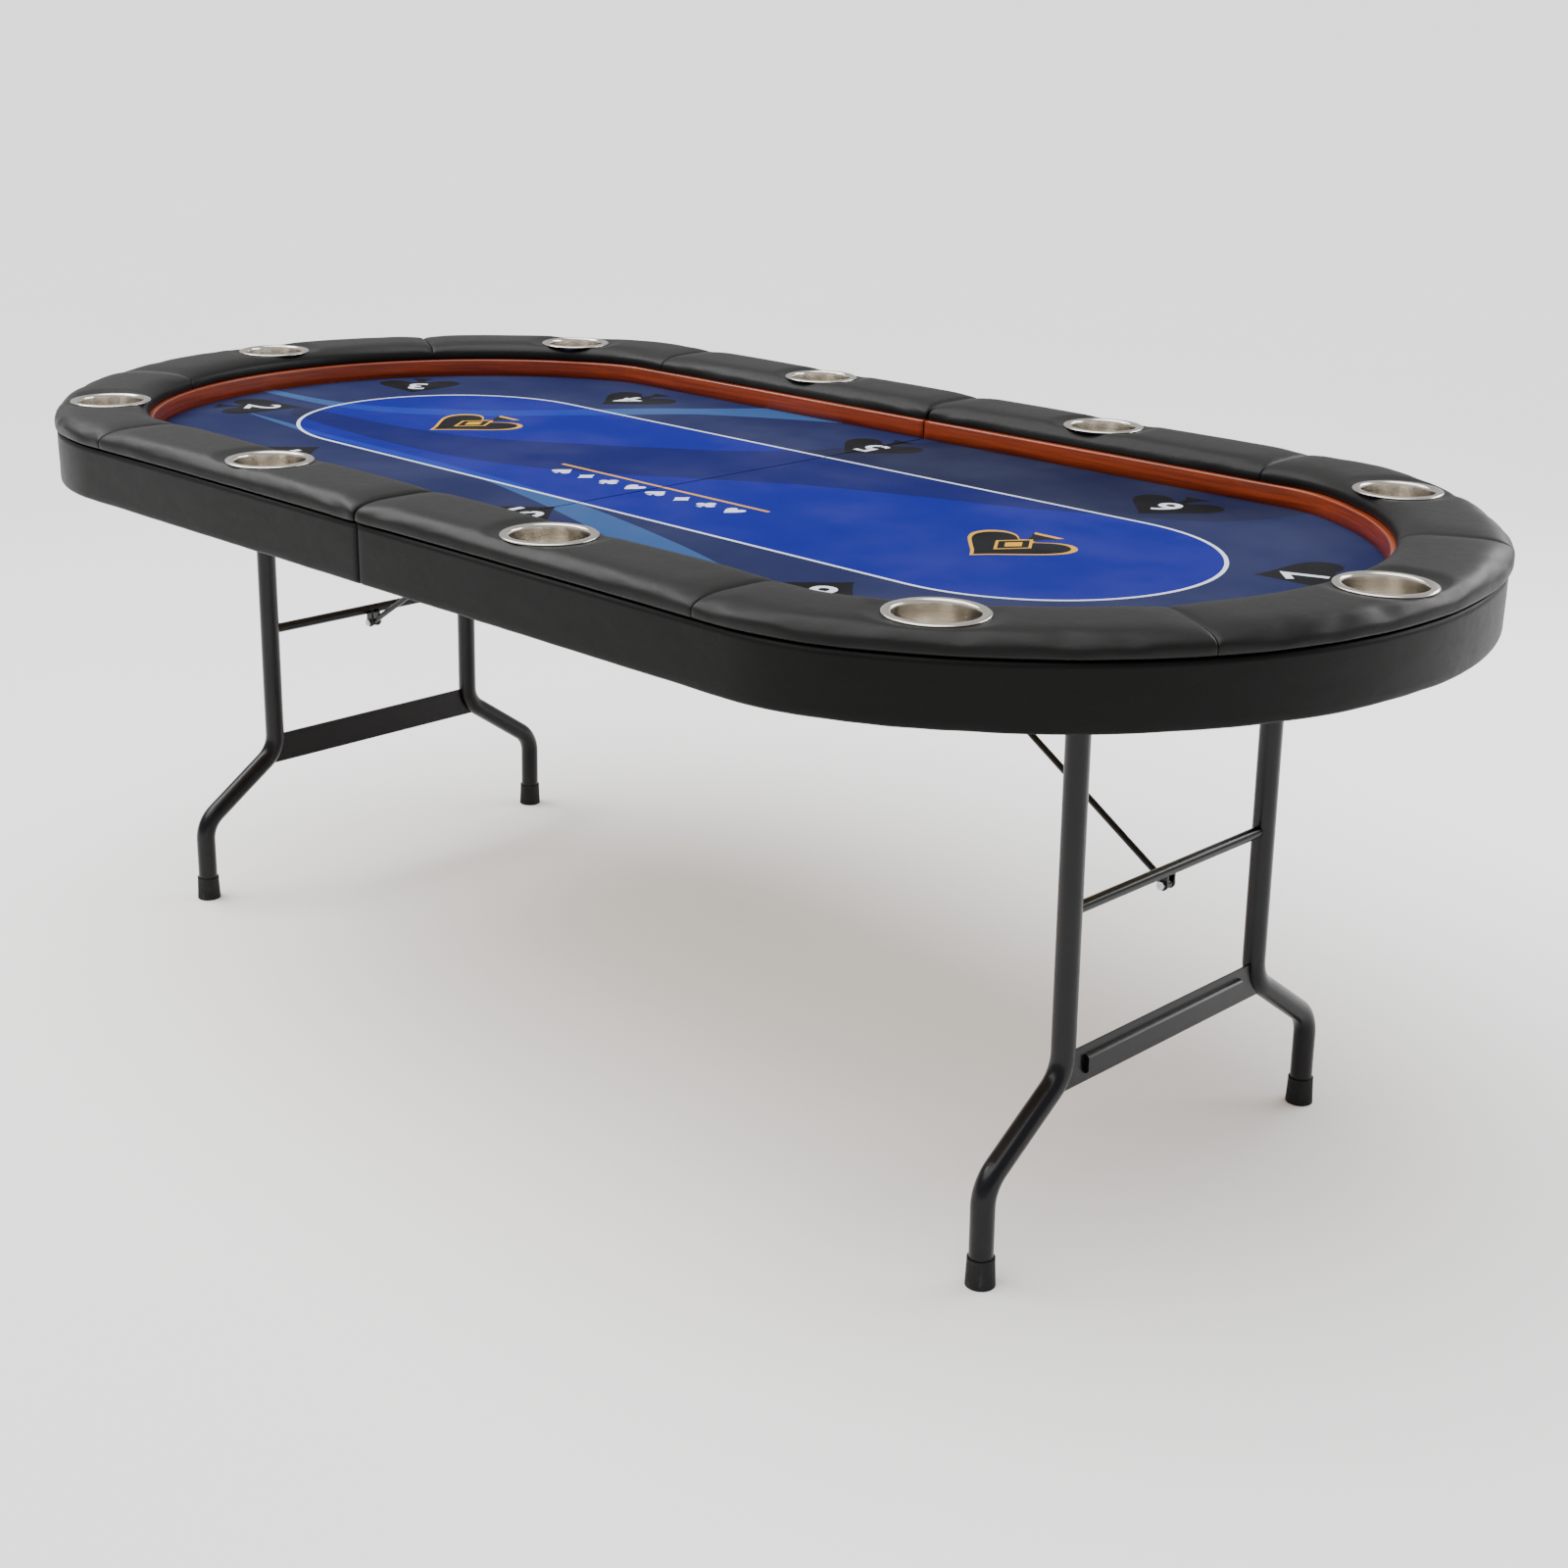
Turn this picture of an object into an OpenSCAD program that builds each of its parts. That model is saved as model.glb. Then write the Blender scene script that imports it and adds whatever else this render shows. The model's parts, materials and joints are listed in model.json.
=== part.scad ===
// Folding card table: an oval top in two halves that fold underside to underside, on folding steel legs.
// The origin is on the floor under the middle of the open table, with +X along its length and +Z up.
// Every piece is drawn for the right half (+X) and mirrored for the left one.

/* [Table top] */
// Length of the open table
table_l = 2134; // [1780:2:2560]
// Width of the table
table_w = 1118; // [932:2:1342]
// Height of the playing cloth above the floor
cloth_z = 735; // [620:1:880]
// Distance from the tip of the oval back to the centres of its corner arcs
end_len = 459; // [440:1:480]
// Radius of the corner arcs
corner_r = 282; // [260:1:300]
// Gap between the two halves at the fold
fold_gap = 3; // [2:0.5:4]
// Gap between the boards of the two halves, which butt at the fold
butt_gap = 0.3; // [0.3:0.1:1]
// Height of the skirt below the playing cloth
skirt_drop = 49; // [45:1:60]
// Thickness of the skirt
skirt_t = 12; // [8:1:16]
// Thickness of the board
board_t = 9; // [6:1:12]
// Thickness of the foam under the cloth
foam_t = 3; // [2:0.5:6]
// Thickness of the playing cloth
cloth_t = 1; // [0.6:0.1:1.5]

/* [Rail] */
// Width from the skirt's face to the inner face of the wood band
rail_w = 130; // [124:1:140]
// Thickness of the wood band
band_t = 12; // [8:1:16]
// Height of the wood band above the playing cloth
band_h = 26; // [20:1:32]
// Height of the bottom of the pads above the playing cloth
pad_base_h = 23; // [18:1:26]
// Thickness of the pads
pad_t = 29; // [24:1:36]
// How far the pads stand out past the skirt
pad_over = 4; // [0:1:6]
// Distance from the seam across the straight side to the start of the corner arc
seam_back = 43; // [30:1:60]
// Angle of the seams beside the end pad
seam_angle = 29; // [24:1:34]
// Gap between neighbouring pads
pad_gap = 0.6; // [0.4:0.1:1.5]

/* [Cup holders] */
// Inner radius of a cup holder
cup_r = 44; // [40:0.5:48]
// Thickness of its sheet steel
cup_wall = 1; // [0.6:0.1:1.5]
// Outer radius of its rim
cup_rim_r = 55; // [52:0.5:60]
// Thickness of its rim
cup_rim_t = 2; // [1:0.5:3]
// Depth that the rim sinks into the pad
cup_sink = 4; // [3:0.5:6]
// Gap between the cup and the hole in the rail
cup_fit = 1; // [0.5:0.5:2]
// Distance from the skirt's face to the middle of a cup
cup_inset = 64; // [60:1:68]
// Distance from the fold to the middle of the first cup
cup_x = 269; // [200:1:300]
// Angle of the corner cup about its corner arc
cup_angle = 43.5; // [38:0.5:50]

/* [Legs] */
// Distance from the tip of the oval back to the leg's pivot
leg_inset = 302; // [280:1:340]
// Gap between the board and a foot cap when the leg is folded
leg_clear = 0.5; // [0.5:0.5:4]
// Radius of the pivot rod
pivot_r = 4; // [3:0.5:5]
// Angle by which the feet stand outward
splay = 1; // [0.5:0.5:2]
// Radius of the leg tube
tube_r = 14; // [12:0.5:14]
// Wall of the leg tube
tube_wall = 1.5; // [1:0.1:2.5]
// Length of tube above the pivot
tube_head = 8; // [6:0.5:8]
// Distance from the middle of the table to the upper tubes
tube_y = 188; // [150:1:220]
// Distance from the middle of the table to the feet
foot_y = 320; // [280:1:360]
// Height of the upper bend above the floor
bend_high = 212; // [190:1:240]
// Height of the lower bend above the floor
bend_low = 120; // [100:1:140]
// Radius of the bends
bend_r = 48; // [40:1:56]
// Thickness of rubber round the tube at the foot of a cap
cap_flare = 3.5; // [2.5:0.5:4.5]
// Height of a foot cap
cap_h = 34; // [26:1:40]
// Thickness of rubber under the tube
cap_sole = 4; // [3:0.5:8]
// Height of the spreader plate
plate_h = 45; // [36:1:54]
// Thickness of its sheet steel
plate_t = 2.5; // [1.5:0.5:3]
// Depth of the rib along it
rib_d = 6; // [4:0.5:9]
// Height of the crossbar above the floor
bar_z = 405; // [360:1:440]
// Radius of the crossbar
bar_r = 7; // [6:0.5:8]

/* [Braces] */
// Distance from the leg's pivot back to the brace's anchor
anchor_back = 515; // [480:1:530]
// Distance of the brace's bolt below the crossbar
bolt_drop = 20; // [18:1:26]
// Distance of the bolt and the anchor above the leg when it is folded
brace_rise = 6; // [6:0.5:8]
// Radius of the brace rods
rod_r = 4; // [3:0.5:4]
// Outer radius of the eyes
eye_r = 6; // [5.5:0.5:6]
// Half width of the eyes of the lower rod
eye_w = 4.7; // [4:0.1:4.7]
// Radius of the bolt and of the pivots of the brace
pin_r = 3; // [2:0.5:3.5]
// Distance from the lower rod to each upper rod
twin_y = 14; // [13:1:18]

/* [Fold hinges] */
// Half the distance between the two pins of a hinge
pin_x = 6; // [5.5:0.5:7]
// Radius of the hinge knuckles
knuckle_r = 4.5; // [4:0.5:4.5]
// Radius of the hinge pins
hinge_pin_r = 2.5; // [2:0.5:3]
// Height of the pins above the bottom of the skirt
pin_rise = 4.5; // [4.5:0.5:6]
// Width of the middle knuckle
knuckle_w = 24; // [18:1:30]
// Width of each outer knuckle
leaf_w = 12; // [8:1:16]
// Thickness of a leaf
leaf_t = 2; // [1.5:0.5:2]
// Width of the cross rail along the fold
fold_rail_w = 30; // [26:1:34]
// Distance from the middle of the table to the inner hinges
hinge_in = 150; // [120:1:180]
// Distance from the skirt's face to the outer hinges
hinge_edge = 129; // [110:1:160]

/* [Fold latches] */
// Length of the latch bar
latch_l = 64; // [54:1:70]
// Width of the latch bar
latch_w = 16; // [12:1:18]
// Thickness of the latch bar
latch_t = 1.6; // [1:0.2:1.6]
// Radius of the latch's pivot
latch_pin_r = 3; // [2:0.5:4]

/* [Fits] */
// Gap of a pin that turns in its hole
run_fit = 0.05; // [0.02:0.01:0.1]
// Gap between pieces that move past each other
clear_fit = 0.3; // [0.2:0.1:0.6]
// Gap between pieces that are only set side by side
set_gap = 0.1; // [0.05:0.05:0.3]

/* [Hidden] */
$fn = 64;
half_l = table_l / 2;
half_w = table_w / 2;
seam_x = fold_gap / 2;
butt_x = butt_gap / 2;
reach = table_l;

// The outline: straight sides, corner arcs and one wide arc at the tip, each tangent to the next.
corner_x = half_l - end_len;
corner_y = half_w - corner_r;
tip_x = (half_l - corner_r + corner_x) / 2 - corner_y * corner_y / (2 * (end_len - corner_r));
tip_r = half_l - tip_x;
tip_angle = atan2(corner_y, corner_x - tip_x);

// The middles of the five cup holders of a half.
corner_cup = [corner_x + (corner_r - cup_inset) * cos(cup_angle),
              corner_y + (corner_r - cup_inset) * sin(cup_angle)];
side_cup = [cup_x, half_w - cup_inset];
end_cup = [half_l - cup_inset, 0];
cup_places = [[side_cup[0], -side_cup[1]], [corner_cup[0], -corner_cup[1]], end_cup, corner_cup, side_cup];

// Heights, from the cloth down and up.
foam_z = cloth_z - cloth_t - foam_t;
board_z = foam_z - board_t;
skirt_z = cloth_z - skirt_drop;
pad_z = cloth_z + pad_base_h;
band_z = cloth_z + band_h;
rim_z = pad_z + pad_t - cup_sink;
cup_top_z = rim_z + cup_rim_t;
cup_bottom_z = foam_z + set_gap;

// Legs. The leg frame has its origin on the pivot and its tubes hang down -Z.
cap_r = tube_r + cap_flare;
pivot_drop = cap_r + leg_clear;
pivot_x = half_l - leg_inset;
pivot_z = board_z - pivot_drop;
leg_high = bend_high - pivot_z;
leg_low = bend_low - pivot_z;
bend_angle = atan2(foot_y - tube_y, bend_high - bend_low);
bend_cut = bend_r * tan(bend_angle / 2);
bend_lap = 0.5;
slant_l = norm([foot_y - tube_y, bend_high - bend_low]);
tube_end = cap_sole - pivot_z;
bar_drop = bar_z - pivot_z;
bolt_z = bar_drop - bolt_drop;
plate_out = 1;
rib_end = 22;
cap_collar = 5;
cap_taper = 1.5;
cap_wall = 2;

// Brackets that hold the pivot rod.
bracket_t = 2.5;
bracket_base = 1.5;
bracket_half = tube_r + 1 + bracket_t;
bracket_l = 48;
bracket_flange = 14;
ear_r = 16;
screw_r = 3.5;
screw_h = 1.2;

// Braces. The two links lie in one line when the leg is down and on top of each other when it is folded.
bridge_at = 60;
bridge_l = 14;
bridge_rise = 7;
bridge_t = 2;
anchor = [pivot_x - anchor_back, pivot_z + brace_rise];
bolt_down = [pivot_x - brace_rise * cos(splay) - bolt_z * sin(splay),
             pivot_z + bolt_z * cos(splay) - brace_rise * sin(splay)];
bolt_up = [pivot_x + bolt_z, pivot_z + brace_rise];
open_l = norm(bolt_down - anchor);
shut_l = norm(bolt_up - anchor);
lower_l = (open_l + shut_l) / 2;
upper_l = (open_l - shut_l) / 2;
brace_slope = atan2(anchor[1] - bolt_down[1], bolt_down[0] - anchor[0]);
ear_y = twin_y + rod_r + set_gap + clear_fit;
ear_t = 3;
tab_t = 3;
hex_r = 5.5;
hex_h = 4;

pin_z = skirt_z + pin_rise;
fold_rail_z = skirt_z + leaf_t;
notch_w = knuckle_w / 2 + leaf_w + 2 * clear_fit;
notch_x = pin_x + knuckle_r + clear_fit;
hinge_out = half_w - hinge_edge;
latch_y = (hinge_in + hinge_out) / 2;
hinge_places = [-hinge_out, -hinge_in, hinge_in, hinge_out];
latch_x = fold_rail_w / 2;

// ---- shared shapes ----

// The right half of the outline, drawn in by the given distance.
module half_plan(inset, fold_x = seam_x) {
    intersection() {
        union() {
            translate([0, inset - half_w])
                square([corner_x, 2 * (half_w - inset)]);
            for (side = [-1, 1])
                translate([corner_x, side * corner_y])
                    circle(r = corner_r - inset);
            intersection() {
                translate([tip_x, 0])
                    circle(r = tip_r - inset);
                tip_wedge(tip_angle);
            }
        }
        translate([fold_x, -reach])
            square([reach, 2 * reach]);
    }
}

// Everything within the given angle of the tip's direction.
module tip_wedge(angle) {
    far = [reach * cos(angle), reach * sin(angle)];
    polygon([[tip_x, 0], [tip_x + far[0], -far[1]], [tip_x + reach, -far[1]],
        [tip_x + reach, far[1]], [tip_x + far[0], far[1]]]);
}

// A closed band that follows the outline between two insets.
module ring(outer, inner, low, high) {
    translate([0, 0, low])
        linear_extrude(high - low)
            difference() {
                half_plan(outer);
                half_plan(inner);
            }
}

module left_side() {
    mirror([1, 0, 0])
        children();
}

// ---- table top ----

module board() {
    color("burlywood")
        translate([0, 0, board_z])
            linear_extrude(board_t)
                half_plan(skirt_t, butt_x);
}

module foam() {
    color("gray")
        translate([0, 0, foam_z])
            linear_extrude(foam_t)
                half_plan(rail_w);
}

module cloth() {
    color("royalblue")
        translate([0, 0, foam_z + foam_t])
            linear_extrude(cloth_t)
                half_plan(rail_w);
}

// The band is bent and glued up from five lengths, jointed in line with the seams of the pads.
module wood_band() {
    color("saddlebrown")
        for (segment = [0:4])
            translate([0, 0, foam_z])
                linear_extrude(band_z - foam_z)
                    intersection() {
                        difference() {
                            half_plan(rail_w - band_t);
                            half_plan(rail_w);
                        }
                        segment_plan(segment, set_gap);
                    }
}

// The part of the plan that belongs to one rail segment, numbered from the front round the end to the rear.
module segment_plan(segment, gap = pad_gap) {
    cut_x = corner_x - seam_back;
    if (segment == 0 || segment == 4)
        translate([0, segment == 0 ? -reach : 0])
            square([cut_x - gap / 2, reach]);
    if (segment == 1 || segment == 3)
        intersection() {
            translate([cut_x + gap / 2, segment == 1 ? -reach : 0])
                square([reach, reach]);
            difference() {
                square(2 * reach, center = true);
                offset_wedge(gap / 2);
            }
        }
    if (segment == 2)
        offset_wedge(-gap / 2);
}

// The wedge of the end pad, with its sides moved out by the given distance.
module offset_wedge(out) {
    translate([-out / sin(seam_angle), 0])
        tip_wedge(seam_angle);
}

module rail_base() {
    color("tan")
        for (segment = [0:4])
            difference() {
                translate([0, 0, foam_z])
                    linear_extrude(pad_z - foam_z)
                        intersection() {
                            difference() {
                                half_plan(skirt_t, butt_x);
                                half_plan(rail_w - band_t, 0);
                            }
                            segment_plan(segment);
                        }
                cup_hole(segment, foam_z);
            }
}

module cup_hole(segment, low) {
    translate([cup_places[segment][0], cup_places[segment][1], low - 1])
        cylinder(r = cup_r + cup_wall + cup_fit, h = pad_z + pad_t);
}

module pad(segment) {
    color("dimgray")
        difference() {
            translate([0, 0, pad_z])
                linear_extrude(pad_t)
                    intersection() {
                        difference() {
                            half_plan(-pad_over);
                            half_plan(rail_w - band_t - clear_fit);
                        }
                        segment_plan(segment);
                    }
            cup_hole(segment, pad_z);
            translate([cup_places[segment][0], cup_places[segment][1], rim_z])
                cylinder(r = cup_rim_r + cup_fit, h = pad_t);
        }
}

module skirt() {
    color("black")
        ring(0, skirt_t, skirt_z, pad_z);
}

module cup_holders() {
    color("silver")
        for (place = cup_places)
            translate([place[0], place[1], 0])
                rotate_extrude()
                    polygon([[0, cup_bottom_z], [cup_r + cup_wall, cup_bottom_z], [cup_r + cup_wall, rim_z],
                        [cup_rim_r, rim_z], [cup_rim_r, cup_top_z], [cup_r, cup_top_z],
                        [cup_r, cup_bottom_z + cup_wall], [0, cup_bottom_z + cup_wall]]);
}

// ---- fold ----

module fold_rail() {
    rail_y = half_w - skirt_t - set_gap;
    color("sienna")
        difference() {
            translate([seam_x, -rail_y, fold_rail_z])
                cube([fold_rail_w - seam_x, 2 * rail_y, board_z - fold_rail_z]);
            for (y = hinge_places)
                translate([0, y - notch_w, 0])
                    cube([notch_x, 2 * notch_w, pin_z + knuckle_r + clear_fit]);
        }
}

// One outer knuckle and the leaf under the cross rail, on one side of a hinge.
module hinge_leaf() {
    first = knuckle_w / 2 + clear_fit;
    difference() {
        union() {
            translate([pin_x, first, pin_z])
                rotate([-90, 0, 0])
                    cylinder(r = knuckle_r, h = leaf_w);
            translate([pin_x, first, skirt_z])
                cube([fold_rail_w - pin_x - 1, leaf_w, leaf_t]);
        }
        translate([pin_x, 0, pin_z])
            rotate([-90, 0, 0])
                cylinder(r = hinge_pin_r, h = 4 * leaf_w);
    }
}

module hinge_leaves() {
    color("darkgray")
        for (y = hinge_places)
            translate([0, y, 0]) {
                hinge_leaf();
                mirror([0, 1, 0])
                    hinge_leaf();
            }
}

module hinge_pins() {
    half_pin = knuckle_w / 2 + clear_fit + leaf_w;
    color("lightgray")
        for (y = hinge_places)
            translate([pin_x, y - half_pin, pin_z])
                rotate([-90, 0, 0])
                    cylinder(r = hinge_pin_r, h = 2 * half_pin);
}

// The loose links that carry one pin of each half.
module hinge_links() {
    color("gray")
        for (y = hinge_places)
            translate([0, y + knuckle_w / 2, pin_z])
                rotate([90, 0, 0])
                    linear_extrude(knuckle_w)
                        difference() {
                            union() {
                                square([2 * pin_x, 2 * knuckle_r], center = true);
                                for (side = [-1, 1])
                                    translate([side * pin_x, 0])
                                        circle(r = knuckle_r);
                            }
                            for (side = [-1, 1])
                                translate([side * pin_x, 0])
                                    circle(r = hinge_pin_r + run_fit);
                        }
}

// A bar that turns under the fold to hold the halves flat, drawn in its open place along the left cross rail.
module latch(side) {
    color("lightgray")
        translate([-latch_x, side * latch_y, fold_rail_z - set_gap - latch_t])
            difference() {
                linear_extrude(latch_t)
                    union() {
                        circle(r = latch_w / 2);
                        translate([-latch_w / 2, 0])
                            square([latch_w, latch_l - latch_w]);
                        translate([0, latch_l - latch_w])
                            circle(r = latch_w / 2);
                    }
                translate([0, 0, -1])
                    cylinder(r = latch_pin_r + run_fit, h = latch_t + 2);
            }
}

// ---- legs ----

// Places a piece drawn in the leg frame.
module on_leg() {
    translate([pivot_x, 0, pivot_z])
        rotate([0, -splay, 0])
            children();
}

// The centreline of the rear tube as a solid of the given radius, from its top end down to the foot.
module tube_path(radius, extra, lap = 0) {
    translate([0, tube_y, leg_high + bend_cut])
        cylinder(r = radius, h = tube_head + extra - leg_high - bend_cut);
    translate([0, tube_y, leg_high + bend_cut])
        bend(radius);
    translate([0, tube_y, leg_high])
        rotate([180 + bend_angle, 0, 0])
            translate([0, 0, bend_cut - lap])
                cylinder(r = radius, h = slant_l - 2 * (bend_cut - lap));
    translate([0, foot_y, leg_low - bend_cut])
        mirror([0, 0, 1])
            mirror([0, 1, 0])
                bend(radius);
    translate([0, foot_y, tube_end - extra])
        cylinder(r = radius, h = leg_low - bend_cut - tube_end + extra);
}

// A stretch of a ring that starts at the origin going down and turns towards +Y.
module bend(radius) {
    translate([0, bend_r, 0])
        rotate([0, 90, 0])
            rotate([0, 0, -90])
                rotate_extrude(angle = bend_angle)
                    translate([bend_r, 0])
                        circle(r = radius);
}

module leg_tube() {
    color("black")
        on_leg()
            difference() {
                tube_path(tube_r, 0);
                tube_path(tube_r - tube_wall, 1);
                translate([0, tube_y - 2 * tube_r, 0])
                    rotate([-90, 0, 0])
                        cylinder(r = pivot_r + run_fit, h = 4 * tube_r);
            }
}

module front_side() {
    mirror([0, 1, 0])
        children();
}

module crossbar() {
    color("black")
        on_leg()
            difference() {
                translate([0, -tube_y, bar_drop])
                    rotate([-90, 0, 0])
                        cylinder(r = bar_r, h = 2 * tube_y);
                tube_path(tube_r + set_gap / 2, 0, bend_lap);
                front_side()
                    tube_path(tube_r + set_gap / 2, 0, bend_lap);
            }
}

// The plate ends on the tubes' centrelines, and the tubes are then cut out of it.
module spreader_plate() {
    rib_l = 2 * (tube_y - tube_r - rib_end);
    low_y = tube_y + plate_h / 2 * tan(bend_angle);
    color("black")
        on_leg()
            difference() {
                union() {
                    translate([plate_out, 0, leg_high])
                        rotate([90, 0, 90])
                            linear_extrude(plate_t)
                                polygon([[-tube_y, plate_h / 2], [-tube_y, 0], [-low_y, -plate_h / 2],
                                    [low_y, -plate_h / 2], [tube_y, 0], [tube_y, plate_h / 2]]);
                    translate([plate_out, -rib_l / 2, leg_high])
                        rotate([-90, 0, 0])
                            intersection() {
                                cylinder(r = 2 * rib_d, h = rib_l);
                                translate([0, -2 * rib_d, 0])
                                    cube([plate_t + rib_d, 4 * rib_d, rib_l]);
                            }
                }
                for (side = [0, 1])
                    mirror([0, side, 0])
                        tube_path(tube_r + set_gap / 2, 0, bend_lap);
            }
}

// Rubber caps that taper up to a collar. The floor cuts their soles level.
module foot_caps() {
    color("dimgray")
        difference() {
            on_leg()
                for (side = [-1, 1])
                    translate([0, side * foot_y, -pivot_z - cap_sole])
                        difference() {
                            union() {
                                cylinder(r1 = cap_r, r2 = cap_r - cap_taper,
                                    h = cap_h + cap_sole - cap_collar);
                                translate([0, 0, cap_h + cap_sole - cap_collar])
                                    cylinder(r = tube_r + cap_wall, h = cap_collar);
                            }
                            translate([0, 0, 2 * cap_sole])
                                cylinder(r = tube_r, h = cap_h);
                        }
            translate([0, -foot_y - 2 * cap_r, -4 * cap_r])
                cube([half_l, 2 * (foot_y + 2 * cap_r), 4 * cap_r]);
        }
}

module pivot_rod() {
    rod_half = tube_y + bracket_half;
    color("silver")
        translate([pivot_x, -rod_half, pivot_z])
            rotate([-90, 0, 0])
                cylinder(r = pivot_r, h = 2 * rod_half);
}

module leg_brackets() {
    width = 2 * bracket_half;
    color("dimgray")
        for (side = [-1, 1])
            translate([pivot_x, side * tube_y - bracket_half, 0])
                difference() {
                    union() {
                        translate([-bracket_l / 2, -bracket_flange, board_z - bracket_base])
                            cube([bracket_l, width + 2 * bracket_flange, bracket_base]);
                        for (y = [0, width - bracket_t])
                            translate([0, y, pivot_z]) {
                                translate([-ear_r, 0, 0])
                                    cube([2 * ear_r, bracket_t, board_z - pivot_z]);
                                rotate([-90, 0, 0])
                                    cylinder(r = ear_r, h = bracket_t);
                            }
                    }
                    translate([0, -1, pivot_z])
                        rotate([-90, 0, 0])
                            cylinder(r = pivot_r, h = width + 2);
                }
}

// ---- braces ----

module brace_tab() {
    tab_r = eye_r + 1;
    grip = eye_w + clear_fit + tab_t;
    color("black")
        on_leg()
            difference() {
                for (y = [-grip, grip - tab_t])
                    translate([-brace_rise, y, bolt_z]) {
                        rotate([-90, 0, 0])
                            cylinder(r = tab_r, h = tab_t);
                        translate([-tab_r, 0, 0])
                            cube([2 * tab_r, tab_t, bolt_drop]);
                    }
                translate([-brace_rise, -2 * grip, bolt_z])
                    rotate([-90, 0, 0])
                        cylinder(r = pin_r, h = 4 * grip);
                translate([0, -2 * grip, bar_drop])
                    rotate([-90, 0, 0])
                        cylinder(r = bar_r + set_gap / 2, h = 4 * grip);
            }
}

module brace_bolt() {
    grip = eye_w + clear_fit + tab_t;
    color("silver")
        on_leg()
            translate([-brace_rise, 0, bolt_z])
                rotate([-90, 0, 0]) {
                    translate([0, 0, -grip])
                        cylinder(r = pin_r, h = 2 * grip);
                    for (z = [-grip - hex_h, grip])
                        translate([0, 0, z])
                            cylinder(r = hex_r, h = hex_h, $fn = 6);
                }
}

// A rod along +X with an eye at each end, and a hole along Y through each eye that is named by its place.
module link_rod(length, half_width, radius, holes) {
    difference() {
        union() {
            for (x = [0, length])
                translate([x, -half_width, 0])
                    rotate([-90, 0, 0])
                        cylinder(r = eye_r, h = 2 * half_width);
            rotate([0, 90, 0])
                cylinder(r = radius, h = length);
        }
        for (x = holes)
            translate([x, -2 * half_width, 0])
                rotate([-90, 0, 0])
                    cylinder(r = pin_r + run_fit, h = 4 * half_width);
    }
}

module brace_lower() {
    color("black")
        translate([bolt_down[0], 0, bolt_down[1]])
            rotate([0, 180 + brace_slope, 0])
                link_rod(lower_l, eye_w, rod_r, [0, lower_l]);
}

// Twin rods with a stub at the knee on each side of the lower rod's eye, joined by a strap under them.
module brace_upper() {
    stub = twin_y - eye_w - clear_fit;
    color("black")
        translate([anchor[0], 0, anchor[1]])
            rotate([0, brace_slope, 0]) {
                for (side = [0, 1])
                    mirror([0, side, 0]) {
                        translate([0, twin_y, 0])
                            link_rod(upper_l, rod_r + set_gap, rod_r, [0]);
                        translate([upper_l, twin_y - stub, 0])
                            rotate([-90, 0, 0])
                                cylinder(r = pin_r, h = stub);
                        translate([bridge_at, twin_y - bridge_t, -bridge_rise - bridge_t])
                            cube([bridge_l, 2 * bridge_t, bridge_rise + bridge_t]);
                    }
                translate([bridge_at, -twin_y, -bridge_rise - bridge_t])
                    cube([bridge_l, 2 * twin_y, bridge_t]);
            }
}

// Two ears under the board, each with a stub through the eye of one upper rod.
module brace_anchor() {
    stub = ear_y - twin_y + rod_r + set_gap;
    color("dimgray")
        translate([anchor[0], 0, 0])
            for (side = [0, 1])
                mirror([0, side, 0]) {
                    translate([-eye_r, ear_y, anchor[1]])
                        cube([2 * eye_r, ear_t, board_z - anchor[1]]);
                    translate([0, ear_y, anchor[1]])
                        rotate([-90, 0, 0])
                            cylinder(r = eye_r, h = ear_t);
                    translate([0, ear_y - stub, anchor[1]])
                        rotate([-90, 0, 0])
                            cylinder(r = pin_r, h = stub);
                    translate([-bracket_flange, ear_y, board_z - bracket_base])
                        cube([2 * bracket_flange, bracket_flange + 2 * ear_t, bracket_base]);
                }
}

// ---- screws ----

module screw(x, y) {
    translate([x, y, board_z - bracket_base - screw_h])
        cylinder(r = screw_r, h = screw_h);
}

module screws() {
    color("silver") {
        for (side = [-1, 1])
            for (end = [-1, 1])
                for (x = [-1, 1])
                    screw(pivot_x + x * bracket_l / 3,
                        side * tube_y + end * (bracket_half + bracket_flange / 2));
        for (side = [-1, 1])
            for (x = [-1, 1])
                screw(anchor[0] + x * bracket_flange / 2, side * (ear_y + bracket_flange));
    }
}

module latch_pins() {
    color("silver")
        for (side = [-1, 1])
            translate([-latch_x, side * latch_y, fold_rail_z - set_gap - latch_t])
                cylinder(r = latch_pin_r, h = latch_t + set_gap);
}

// ---- right half ----
board();  // right_board
foam();  // right_foam
cloth();  // right_cloth
wood_band();  // right_wood_band
rail_base();  // right_rail_base
pad(0);  // right_pad_front
pad(1);  // right_pad_front_corner
pad(2);  // right_pad_end
pad(3);  // right_pad_rear_corner
pad(4);  // right_pad_rear
skirt();  // right_skirt
fold_rail();  // right_fold_rail
cup_holders();  // right_cup_holders
hinge_leaves();  // right_hinge_leaves
hinge_pins();  // right_hinge_pins
leg_brackets();  // right_leg_brackets
pivot_rod();  // right_pivot_rod
brace_anchor();  // right_brace_anchor
screws();  // right_screws
front_side() leg_tube();  // right_leg_tube_front
leg_tube();  // right_leg_tube_rear
crossbar();  // right_crossbar
spreader_plate();  // right_spreader_plate
foot_caps();  // right_foot_caps
brace_tab();  // right_brace_tab
brace_bolt();  // right_brace_bolt
brace_lower();  // right_brace_lower
brace_upper();  // right_brace_upper

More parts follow.
